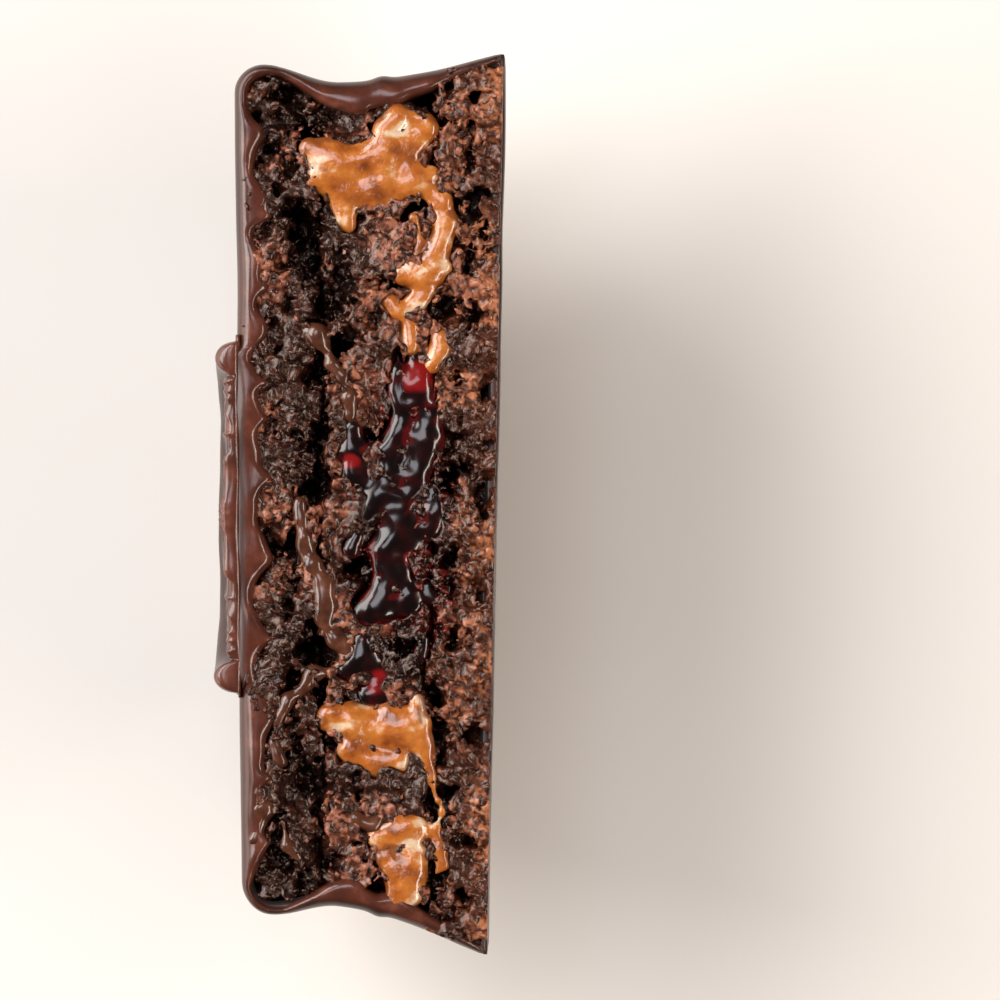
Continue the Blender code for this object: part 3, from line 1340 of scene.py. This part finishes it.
@dataclass
class Pour:
    """Something thick that ran: strokes that melt into each other, then wrinkled a little.

    Args:
        name: The piece's name.
        stack: The half cake's shape.
        strokes: Runs of x, t and half width.
        seed: Chooses its patterns.
        step: Width of a cell of the block that its skin is wrapped round.
        squash: How flat a stroke's section is, for each millimetre of half width.
        lift: How far down from the cut a stroke of no width would lie.
        join: How far strokes melt into each other.
        swell: How much wider the strokes are than listed.
        thin_edge: How thin the pour looks at its edges, from 0 to 1.
        thin_spots: x, t and reach of other thin places.
        wrinkles: Width and height of each layer of wrinkles.
        ceiling: The highest that the pour stands, as a depth below the cut.
        margin: Free space round the strokes in the block.
    """

    name: str
    stack: Stack
    strokes: Sequence[Stroke]
    seed: int
    step: float = 0.125
    squash: float = 0.6
    lift: float = 0.12
    join: float = 0.55
    swell: float = 1.0
    thin_edge: float = 0.3
    thin_spots: Sequence[tuple[float, float, float]] = ()
    wrinkles: Sequence[tuple[float | tuple[float, float, float], float]] = ((1.5, 0.12), (0.6, 0.05))
    ceiling: float = -0.3
    margin: float = 2.0

    def build(self) -> bpy.types.Object:
        """Wraps the strokes in one skin.

        Returns:
            The piece, with the mark `thin`.
        """
        points = np.array([p for stroke in self.strokes for p in stroke])
        low, high = points.min(axis=0) - self.margin, points.max(axis=0) + self.margin
        grid = Grid(
            lines(low[0], high[0], self.step),
            lines(low[1], high[1], self.step),
            lines(-0.6, 2.4, self.step),
        )
        block = np.full((len(grid.x), len(grid.t), len(grid.w)), 3.0, np.float32)
        for stroke in self.strokes:
            for start, end in zip(stroke, stroke[1:]):
                self._draw(block, grid, start, end)
        for number, (size, height) in enumerate(self.wrinkles):
            block += height * grid.noise(size, self.seed + number)
        block = smooth_max(block, self.ceiling - grid.spread()[2], 0.3)
        vertices, quads = skin(block, grid)
        thin = self._thin(vertices)
        piece = as_piece(self.name, self.stack, vertices, quads, {"thin": thin})
        hold_down(piece)
        return piece

    def _thin(self, vertices: np.ndarray) -> np.ndarray:
        """How thin the pour is, at its edges and at some places.

        Args:
            vertices: Rows of x, t and w.

        Returns:
            1 where it is so thin that light comes through, 0 where it is deep.
        """
        x, t, _ = vertices.T
        ragged = point_noise(vertices, 0.8, self.seed + 20) - 0.5
        gap = stroke_gap(x, t, self.strokes, self.swell) + 1.2 * ragged
        thin = self.thin_edge * smooth_step(-0.2, 0.2, gap)
        for px, pt, reach in self.thin_spots:
            gap = np.hypot(x - px, t - pt) / reach + 0.5 * ragged
            thin = np.maximum(thin, smooth_step(1.0, 0.6, gap))
        return thin

    def _draw(self, block: np.ndarray, grid: Grid, start: Sequence[float], end: Sequence[float]) -> None:
        """Melts one tapering length of a stroke into the block.

        Args:
            block: Signed distances to the pour, changed in place.
            grid: The block's places.
            start: x, t and half width where the length starts.
            end: The same where it ends.
        """
        (x0, t0, r0), (x1, t1, r1) = start, end
        r0, r1 = r0 * self.swell, r1 * self.swell
        wide = max(r0, r1) + 1.2
        spans = []
        for line, a, b in ((grid.x, x0, x1), (grid.t, t0, t1)):
            low, high = np.searchsorted(line, (min(a, b) - wide, max(a, b) + wide))
            spans.append(slice(int(low), int(high)))
        x, t = grid.x[spans[0]][:, None, None], grid.t[spans[1]][None, :, None]
        w = grid.w[None, None, :]
        c0, c1 = self.lift + 0.5 * r0, self.lift + 0.5 * r1
        dx, dt, length = x1 - x0, t1 - t0, (x1 - x0) ** 2 + (t1 - t0) ** 2
        part = np.clip(((x - x0) * dx + (t - t0) * dt) / max(length, 1e-6), 0, 1)
        centre = c0 + part * (c1 - c0)
        across = (x - x0 - part * dx) ** 2 + (t - t0 - part * dt) ** 2
        gap = np.sqrt(across + ((w - centre) / self.squash) ** 2)
        distance = (gap - (r0 + part * (r1 - r0))) * 0.8
        here = (spans[0], spans[1], slice(None))
        block[here] = smooth_min(block[here], distance.astype(np.float32), self.join)


def ridge(gap: np.ndarray, half: float, tall: float) -> np.ndarray:
    """A rounded ridge's height at distances from its middle line."""
    return tall * np.exp(-((gap / half) ** 2))


@dataclass
class TopSeal:
    """The stamped seal: a thick pooled ring round a disc with beads, leaves and a rosette.

    Heights are above the coat's top. `wave_row`, `bead_row` and `leaf_row` are the radii of the rows,
    and `flower_reach` is the rosette's.
    """

    stack: Stack
    centre: float = 1.2
    radius: float = 13.5
    ring: float = 2.6
    ring_height: float = 1.7
    disc_height: float = 0.8
    relief: float = 0.26
    step: float = 0.14
    wave_row: float = 10.35
    bead_row: float = 9.0
    leaf_row: float = 7.65
    flower_reach: float = 5.6
    beads: int = 52
    leaves: int = 26
    petals: int = 12

    def height(self, x: np.ndarray, w: np.ndarray) -> np.ndarray:
        """Shapes the seal's face.

        Args:
            x: Places along the cut; broadcast with w.
            w: Places down from the cut.

        Returns:
            The face's height above the coat's top.
        """
        reach = np.sqrt((x - self.centre) ** 2 + w**2)
        angle = np.arctan2(w, x - self.centre)
        pooled = self.radius + 0.22 * np.sin(3 * angle + 0.6) + 0.12 * np.sin(7 * angle)
        swell = 1 + 0.12 * np.cos(angle) + 0.05 * np.sin(5 * angle)
        off = (reach - pooled + self.ring / 2) / (self.ring / 2)
        ring = self.ring_height * swell * np.sqrt(np.clip(1 - off**2, 0, 1))
        inner = pooled - self.ring
        disc = self.disc_height * smooth_step(inner + 0.15, inner - 0.25, reach)
        wave = self.wave_row + 0.16 * np.sin(44 * angle)
        disc = disc + ridge(reach - wave, 0.13, 0.24)
        disc = disc + ridge(reach - 9.6, 0.1, 0.18) + ridge(reach - 6.3, 0.14, 0.28)
        bead = self._across(angle, self.beads, self.bead_row) / 0.2
        disc = disc + self.relief * np.exp(-(bead**2) - ((reach - self.bead_row) / 0.2) ** 2)
        up = reach - self.leaf_row
        leaf = (self._across(angle, self.leaves, self.leaf_row) + 0.45 * up) / 0.24
        disc = disc + self.relief * np.exp(-(leaf**2) - (up / 0.62) ** 2)
        return np.maximum(ring, disc + self._flower(reach, angle))

    def _across(self, angle: np.ndarray, count: int, row: float) -> np.ndarray:
        """Distance along a row from its nearest mark."""
        turn = angle / (2 * math.pi) * count
        return (turn - np.round(turn)) * 2 * math.pi * row / count

    def _flower(self, reach: np.ndarray, angle: np.ndarray) -> np.ndarray:
        """Shapes the rosette in the middle: petals with veins, and a heart.

        Args:
            reach: Distances from the seal's middle.
            angle: Directions from it.

        Returns:
            Height above the disc.
        """
        petal = np.abs(np.cos(self.petals * angle / 2))
        tip = 1.6 + 3.3 * petal**1.6
        flower = smooth_step(tip + 0.15, tip - 0.25, reach) * (0.2 + 0.14 * petal)
        vein = ridge((1 - petal) * reach, 0.16, 0.1) * smooth_step(4.6, 4.2, reach)
        heart = 0.22 * np.sqrt(np.clip(1 - (reach / 1.25) ** 2, 0, 1))
        return np.where(reach < self.flower_reach, flower + vein + heart, 0)

    def build(self) -> bpy.types.Object:
        """Wraps the seal, cut through its middle, in a skin.

        Returns:
            The piece, with the mark `cut` on its cut face.
        """
        stack = self.stack
        grid = Grid(
            lines(self.centre - 14.6, self.centre + 14.6, self.step),
            lines(19.4, 22.9, 0.1),
            np.concatenate([lines(-0.5, 1.2, 0.1), lines(1.32, 14.6, self.step)]),
        )
        x, t, w = grid.spread()
        level = stack.level(x, t)
        top = stack.top_level
        face = top + self.height(x, w) + 0.04 * grid.noise((1.6, 30.0, 1.6), 31) + 0.05
        reach = np.sqrt((x - self.centre) ** 2 + w**2)
        solid = (level - face) * 0.75
        solid = np.maximum(solid, top - 0.35 - level)
        solid = np.maximum(solid, reach - self.radius - 0.5)
        cut = -w - 0.05 + 0.1 * grid.noise((1.4, 0.9, 30.0), 32)
        solid = smooth_max(solid, cut, 0.7)
        vertices, quads = skin(solid, grid)
        marks = {"cut": 1 - smooth_step(0.25, 0.8, vertices[:, 2])}
        piece = as_piece("top_seal_relief", stack, vertices, quads, marks)
        hold_down(piece)
        return piece


@dataclass
class LooseCrumbs:
    """Crumbs and flakes that the knife left on the cut face.

    `reach` is how far from the middle they lie, and `levels` are the stack's heights between which
    they fall.
    """

    stack: Stack
    count: int = 420
    seed: int = 77
    dry: int = 3
    reach: float = 31.0
    levels: tuple[float, float] = (0.2, 19.0)
    smallest: float = 0.07
    spread: float = 0.16

    def build(self, ground: Sequence[bpy.types.Object]) -> bpy.types.Object:
        """Scatters grains on the crumb.

        Args:
            ground: What lies on the cut; grains stay only on the first few, which are dry.

        Returns:
            All grains as one piece, with the mark `grain`.
        """
        random = np.random.default_rng(self.seed)
        graph = bpy.context.evaluated_depsgraph_get()
        trees = [BVHTree.FromObject(piece, graph) for piece in ground]
        form, faces = self._form()
        points, polygons = [], []
        while len(points) < self.count:
            x, t = random.uniform(-33, 33), random.uniform(*self.levels)
            if abs(x - self.stack.skew * t) > self.reach:
                continue
            above = (x * MM, (self.stack.base_face - t) * MM, (self.stack.cut_height + 3) * MM)
            heights = self._heights(trees, Vector(above))
            if max(heights) < 0 or heights.index(max(heights)) >= self.dry:
                continue
            size = self.smallest + self.spread * random.random() ** 3
            turn, _ = np.linalg.qr(random.normal(size=(3, 3)))
            grain = form * random.uniform(0.45, 1.5, (len(form), 1)) * random.uniform(0.35, 1.5, 3)
            grain = grain @ turn.T * size * MM
            grain += np.array([above[0], above[1], max(heights) + 0.3 * size * MM])
            polygons.append(faces + len(points) * len(form))
            points.append(grain)
        mesh = bpy.data.meshes.new("loose_crumbs")
        mesh.from_pydata(np.concatenate(points).tolist(), [], np.concatenate(polygons).tolist())
        mesh.update()
        tones = np.repeat(random.random(self.count), len(form))
        layer = mesh.attributes.new("grain", "FLOAT", "POINT")
        layer.data.foreach_set("value", tones.astype(np.float32))
        piece = bpy.data.objects.new("loose_crumbs", mesh)
        bpy.context.scene.collection.objects.link(piece)
        return piece

    def _form(self) -> tuple[np.ndarray, np.ndarray]:
        """Models the coarse ball from which each grain is made.

        Returns:
            Its corners and its faces.
        """
        bpy.ops.object.select_all(action="DESELECT")
        bpy.ops.mesh.primitive_ico_sphere_add(subdivisions=1, radius=1.0)
        ball = bpy.context.active_object
        form = np.array([v.co for v in ball.data.vertices])
        faces = np.array([list(f.vertices) for f in ball.data.polygons])
        bpy.data.objects.remove(ball, do_unlink=True)
        return form, faces

    def _heights(self, trees: Sequence[BVHTree], above: Vector) -> list[float]:
        """Heights at which a falling grain would land on each tree, or -1 where it would miss."""
        hits = [tree.ray_cast(above, Vector((0, 0, -1)), 7 * MM)[0] for tree in trees]
        return [-1.0 if hit is None else hit.z for hit in hits]


# The hollows that the knife tore out: x, t, half length, half width, depth, and turn in
# degrees.
HOLLOWS = (
    (-29.5, 17.2, 0.8, 0.7, 3.0, 0), (-28.4, 15.1, 0.8, 0.5, 3.0, 10), (-31.2, 14.7, 0.5, 0.5, 2.4, 0),
    (-26.0, 19.1, 1.5, 0.3, 1.4, 0), (-22.0, 18.7, 0.4, 0.3, 1.2, 0), (-19.6, 15.3, 2.8, 0.8, 3.6, -10),
    (-14.9, 13.5, 1.7, 0.8, 3.6, -8), (-10.3, 13.9, 1.5, 0.6, 3.6, 0), (-5.4, 13.8, 2.0, 0.6, 4.0, 0),
    (-1.5, 14.1, 1.7, 0.8, 4.0, 8), (3.4, 15.7, 2.6, 0.6, 4.0, 5), (7.6, 15.9, 2.3, 0.5, 3.6, 0),
    (11.4, 13.8, 1.2, 1.3, 4.0, 0), (14.8, 15.5, 1.7, 0.7, 3.8, 12), (20.3, 14.7, 2.8, 0.6, 3.2, -12),
    (18.3, 17.9, 2.0, 0.5, 1.4, 0), (27.1, 16.2, 1.8, 0.9, 2.6, 0), (29.1, 14.0, 0.8, 0.5, 2.6, 0),
    (-13.1, 17.8, 0.7, 0.4, 1.5, 0), (-6.2, 17.5, 0.9, 0.5, 1.3, 0), (4.6, 18.0, 1.1, 0.4, 1.2, 0),
    (-18.5, 12.6, 1.4, 0.5, 2.2, 20), (-15.6, 11.6, 0.6, 0.5, 1.6, 0), (-2.5, 12.2, 0.8, 0.5, 2.0, 0),
    (27.5, 12.3, 1.1, 0.5, 1.8, 0), (-29.2, 2.7, 1.2, 0.3, 2.0, 0), (-26.0, 2.5, 1.1, 0.2, 1.8, 0),
    (-18.7, 2.4, 1.3, 0.4, 2.0, 0), (-14.4, 2.0, 0.8, 0.5, 2.2, 10), (-9.6, 3.1, 1.8, 0.3, 2.6, 0),
    (-6.3, 3.2, 1.7, 0.2, 2.4, 0), (-1.7, 3.8, 0.8, 0.5, 2.2, 0), (18.0, 4.4, 2.0, 0.6, 2.6, 0),
    (22.9, 4.4, 0.8, 0.5, 2.4, 0), (28.2, 4.3, 1.0, 0.7, 2.4, 0), (25.7, 2.3, 0.6, 0.4, 1.8, 0),
    (25.3, 7.9, 0.6, 0.4, 1.6, 0), (22.1, 10.9, 0.5, 0.7, 1.6, 0), (-23.0, 3.9, 0.8, 0.3, 1.5, 0),
    (4.3, 3.7, 1.1, 0.3, 1.8, 0), (10.4, 3.2, 1.2, 0.3, 1.6, 0), (-5.7, 5.6, 0.6, 0.4, 1.5, 0),
)
# The fillings, given as strokes; each is a run of x, t and half width.
VEINS = (
    ((-13.2, 15.1, 0.5), (-13.0, 14.1, 0.7), (-12.3, 13.6, 0.4), (-10.8, 12.9, 0.4), (-9.5, 12.1, 0.4),
     (-8.2, 11.5, 0.5), (-6.8, 11.4, 0.5)),
    ((0.1, 15.2, 0.5), (1.4, 15.1, 0.4), (3.2, 14.7, 0.5), (5.0, 14.0, 0.5), (6.4, 13.2, 0.8),
     (8.0, 13.0, 0.6), (9.1, 13.3, 0.5), (10.6, 12.1, 0.5), (11.4, 11.1, 0.4)),
    ((13.0, 12.3, 0.4), (13.3, 13.9, 0.5), (14.2, 14.5, 0.4), (15.4, 15.9, 0.4), (17.0, 16.6, 0.4),
     (18.5, 16.8, 0.3), (20.0, 16.2, 0.3)),
    ((24.7, 16.0, 0.3), (26.5, 15.6, 0.3), (27.4, 14.7, 0.3)),
    ((24.3, 10.4, 0.4), (24.9, 9.1, 0.4), (23.9, 8.2, 0.3)),
    ((26.1, 18.0, 0.5), (23.9, 17.6, 0.6), (23.0, 17.5, 0.5)),
    ((21.6, 17.2, 0.3), (21.2, 18.0, 0.3)),
)
CARAMEL_STROKES = (
    ((-27.3, 15.0, 0.4), (-26.4, 13.3, 0.9), (-25.9, 11.6, 1.1), (-26.4, 9.5, 1.3), (-27.5, 7.3, 1.1),
     (-28.7, 6.1, 0.8)),
    ((-24.9, 13.9, 0.7), (-24.0, 12.1, 1.1), (-24.0, 10.0, 1.2), (-25.0, 7.6, 1.2), (-25.5, 5.7, 0.7)),
    ((-22.6, 12.2, 0.8), (-21.4, 11.9, 0.6)),
    ((-28.8, 9.2, 0.6), (-29.5, 8.1, 0.7), (-29.6, 6.7, 0.5)),
    ((-24.4, 6.0, 0.6), (-23.4, 4.9, 0.6), (-21.5, 4.5, 0.6), (-19.5, 4.9, 0.6), (-18.1, 5.8, 0.8)),
    ((-22.0, 6.7, 0.3), (-20.0, 6.3, 0.3), (-18.6, 7.0, 0.5)),
    ((-17.5, 7.4, 0.7), (-17.4, 5.9, 1.0), (-18.2, 4.4, 0.5)),
    ((-15.6, 8.6, 0.6), (-14.7, 7.9, 0.5), (-15.6, 6.6, 0.6), (-16.0, 5.9, 0.5)),
    ((-13.7, 7.0, 0.6), (-12.2, 6.8, 0.5)),
    ((-12.8, 4.6, 0.5), (-11.5, 4.7, 0.5), (-10.6, 5.2, 0.5)),
    ((16.5, 11.9, 0.8), (17.0, 10.2, 1.2), (17.3, 8.2, 1.4), (17.6, 6.5, 1.1), (18.2, 5.5, 0.6)),
    ((19.2, 10.8, 0.8), (19.9, 9.1, 0.9), (19.9, 7.2, 0.8)),
    ((15.1, 5.8, 0.3), (16.8, 5.3, 0.3), (19.1, 5.1, 0.4), (21.1, 4.7, 0.4), (22.8, 4.2, 0.4)),
    ((25.8, 8.5, 0.6), (25.4, 7.1, 0.9), (25.0, 5.6, 0.8)),
    ((27.3, 8.1, 0.5), (28.4, 7.2, 0.7), (29.6, 6.6, 0.9), (30.5, 7.2, 0.6)),
    ((26.8, 6.0, 0.8), (28.6, 5.5, 0.6), (30.2, 5.9, 0.6)),
    ((22.8, 3.9, 0.3), (23.7, 3.8, 0.4), (24.9, 4.2, 0.3), (26.5, 3.9, 0.5), (27.8, 3.7, 0.4),
     (28.8, 4.4, 0.3)),
)
JAM_STROKES = (
    ((-11.6, 6.7, 0.4), (-10.1, 6.4, 0.7), (-8.7, 6.4, 0.9), (-8.0, 6.6, 0.7)),
    ((-11.9, 7.8, 0.3), (-10.2, 7.8, 0.3), (-8.5, 8.0, 0.3), (-7.3, 7.4, 0.5)),
    ((-7.3, 7.6, 0.6), (-5.6, 7.7, 0.6), (-4.1, 8.3, 0.8), (-2.5, 8.4, 0.8)),
    ((-6.6, 5.4, 0.6), (-4.9, 5.7, 0.9), (-3.2, 6.1, 0.9), (-1.2, 6.5, 0.8)),
    ((-5.6, 11.2, 0.6), (-4.0, 11.3, 0.8), (-2.3, 10.9, 0.9), (-1.3, 9.9, 0.6)),
    ((-1.9, 8.4, 0.7), (-0.4, 9.1, 0.8), (1.0, 9.9, 0.6)),
    ((-0.4, 7.7, 0.7), (1.3, 7.9, 0.8), (3.2, 8.1, 0.9), (5.1, 7.3, 0.8), (7.0, 6.5, 0.7), (7.9, 6.2, 0.5)),
    ((1.3, 6.8, 0.6), (3.0, 6.6, 0.7), (2.0, 5.8, 0.5)),
    ((-1.1, 4.7, 0.5), (0.5, 4.5, 0.5), (2.0, 5.1, 0.5)),
    ((3.8, 8.6, 0.6), (5.9, 8.2, 0.7), (7.5, 9.0, 0.7)),
    ((8.4, 10.2, 0.6), (8.1, 8.8, 0.8), (7.9, 7.3, 0.6)),
    ((6.3, 5.2, 0.5), (7.4, 4.7, 0.5)),
    ((10.6, 10.3, 0.5), (12.1, 10.4, 0.8), (12.8, 11.3, 0.7)),
    ((12.4, 9.3, 0.7), (13.2, 8.3, 0.6), (14.6, 9.6, 0.7), (14.9, 8.4, 0.5)),
    ((10.5, 5.4, 0.4), (12.0, 5.7, 0.5)),
    ((2.6, 10.8, 0.5), (3.5, 11.2, 0.5)),
)
# x, t and reach of the places where the jam is thin and crimson.
CRIMSON = ((-9.9, 6.2, 1.5), (13.8, 8.9, 1.2), (-3.2, 11.3, 0.8), (4.2, 6.6, 0.6))


# --- the studio -----------------------------------------------------------------------------


@dataclass(frozen=True)
class Lamp:
    """A soft rectangular lamp that points at the cake; lengths are in metres and power in watts."""

    name: str
    place: tuple[float, float, float]
    wide: float
    tall: float
    power: float
    colour: str

    def hang(self) -> None:
        """Puts the lamp in the scene."""
        lamp = bpy.data.lights.new(self.name, "AREA")
        lamp.shape = "RECTANGLE"
        lamp.size, lamp.size_y = self.wide, self.tall
        lamp.energy = self.power
        lamp.color = tint(self.colour)[:3]
        holder = bpy.data.objects.new(self.name, lamp)
        bpy.context.scene.collection.objects.link(holder)
        holder.location = self.place
        aim = Vector((0, 0, 0.02)) - Vector(self.place)
        holder.rotation_euler = aim.to_track_quat("-Z", "Y").to_euler()


@dataclass
class Studio:
    """Floor, soft light and a camera straight above the cut.

    The view's width, the camera's turn in degrees and its two shifts are in the cut's plane, in
    millimetres. Its distance is in metres.
    """

    stack: Stack
    distance: float = 0.62
    view_width: float = 76.9
    turn: float = 1.07
    aside: float = 11.4
    ahead: float = -0.2
    floor_size: float = 1.5
    glow: float = 0.09
    backdrop: float = 0.88
    lamps: Sequence[Lamp] = (
        Lamp("key", (-0.20, -0.41, 0.45), 0.55, 0.28, 4.2, "#fffaf6"),
        Lamp("card", (-0.05, -0.60, 0.16), 0.9, 0.3, 2.7, "#fff6f0"),
        Lamp("fill", (0.10, 0.40, 0.46), 0.6, 0.07, 2.1, "#ffefe2"),
        Lamp("sky", (-0.17, -0.12, 0.74), 0.3, 0.2, 1.1, "#f0eff6"),
    )

    def floor(self) -> None:
        """A wide pale floor."""
        bpy.ops.object.select_all(action="DESELECT")
        bpy.ops.mesh.primitive_plane_add(size=self.floor_size, location=(0, 0, 0))
        plane = bpy.context.active_object
        plane.name = "floor"
        plane.data.materials.append(PAPER.make())

    def light(self) -> None:
        """Lamps, and a world that glows weakly but looks as pale as the floor beyond its edge."""
        for lamp in self.lamps:
            lamp.hang()
        world = bpy.data.worlds.new("studio")
        world.use_nodes = True
        tree = world.node_tree
        background = tree.nodes["Background"]
        background.inputs["Color"].default_value = tint("#fff4e8")
        seen = add_node(tree, "LightPath", out="Is Camera Ray")
        strength = add_node(
            tree, "MapRange", {"Value": seen, "To Min": self.glow, "To Max": self.backdrop}
        )
        tree.links.new(strength, background.inputs["Strength"])
        bpy.context.scene.world = world
        bpy.context.scene.view_settings.view_transform = "Standard"

    def camera(self) -> None:
        """Looks straight down, turned a little, with the cake left of the middle."""
        data = bpy.data.cameras.new("camera")
        camera = bpy.data.objects.new("camera", data)
        bpy.context.scene.collection.objects.link(camera)
        data.sensor_width = 36.0
        data.lens = data.sensor_width * self.distance / (self.view_width * MM)
        data.clip_start, data.clip_end = 0.01, 10.0
        turn = math.radians(self.turn)
        right = Vector((-math.sin(turn), math.cos(turn), 0.0))
        down = Vector((math.cos(turn), math.sin(turn), 0.0))
        place = (right * self.aside + down * self.ahead) * MM
        place.z = self.stack.cut_height * MM + self.distance
        camera.location = place
        camera.rotation_euler = (0.0, 0.0, math.pi / 2 + turn)
        bpy.context.scene.camera = camera


def build_coat(stack: Stack) -> None:
    """Builds the coat, its rim at the cut and the seal, all of one chocolate.

    Args:
        stack: The half cake's shape.
    """
    coat = COAT.make()
    settle_piece(CoatBody(stack).build(), coat, Slot.CHOCOLATE, "chocolate_coat")
    settle_piece(CoatEdge(stack).build(), coat, Slot.CHOCOLATE)
    settle_piece(TopSeal(stack).build(), coat, Slot.SEAL, "top_seal")


def build_inside(stack: Stack) -> None:
    """Builds the three cookies, the fillings on their cut and the loose crumbs.

    Args:
        stack: The half cake's shape.
    """
    crumb, dulce, jam, cream = CRUMB.make(), DULCE.make(), JAM.make(), CREAM.make()
    pools = ((CARAMEL_STROKES, 1.42, 1.15), (JAM_STROKES, 1.32, 1.0), (VEINS, 1.15, 0.8))
    top = Cookie(
        "crumb_top", stack, low=13.9, high=18.9, reach=31.4, seed=100, hollows=HOLLOWS, pools=pools
    ).build()
    settle_piece(top, crumb, Slot.TOP, "cookie_top")
    middle = Cookie(
        "crumb_middle", stack, low=5.3, high=13.2, reach=30.4, seed=200, hollows=HOLLOWS, pools=pools
    ).build()
    settle_piece(middle, crumb, Slot.MIDDLE, "cookie_middle")
    base = Cookie(
        "crumb_base",
        stack,
        low=-0.4,
        high=4.9,
        reach=33.6,
        seed=300,
        hollows=HOLLOWS,
        ragged=0.3,
        lift=0.2,
        lumps=0.28,
        sag=0.35,
        warm_base=1.0,
        pools=pools,
    ).build()
    settle_piece(base, crumb, Slot.BASE, "cookie_base")
    caramel = Pour(
        "caramel_pour",
        stack,
        CARAMEL_STROKES,
        seed=41,
        swell=1.42,
        thin_edge=0.8,
        wrinkles=((2.0, 0.22), ((3.2, 1.0, 3.0), 0.16), (0.85, 0.09), (0.4, 0.035)),
    ).build()
    settle_piece(caramel, dulce, Slot.DULCE, "dulce_ring")
    berry = Pour(
        "berry_jam_pour",
        stack,
        JAM_STROKES,
        seed=43,
        lift=0.3,
        swell=1.32,
        join=0.75,
        thin_spots=CRIMSON,
        wrinkles=((1.9, 0.26), (0.7, 0.08), (0.4, 0.025)),
    ).build()
    settle_piece(berry, jam, Slot.JAM, "jam_core")
    veins = Pour(
        "chocolate_veins",
        stack,
        VEINS,
        seed=47,
        squash=0.8,
        lift=0.25,
        swell=1.15,
        wrinkles=((1.3, 0.16), (0.65, 0.1)),
    ).build()
    settle_piece(veins, cream, Slot.GANACHE, "ganache_layer")
    crumbs = LooseCrumbs(stack).build([top, middle, base, caramel, berry, veins])
    settle_piece(crumbs, crumb, Slot.TOP)


def main() -> None:
    """Measures the coat's box, builds the pieces in order, dresses them and sets up the studio."""
    logging.basicConfig(level=logging.INFO, format="%(message)s")
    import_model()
    low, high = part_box("chocolate_coat")
    stack = Stack(cut_height=high.z / MM, base_face=high.y / MM)
    build_coat(stack)
    build_inside(stack)

    studio = Studio(stack)
    studio.floor()
    studio.light()
    studio.camera()


if __name__ == "__main__":
    main()
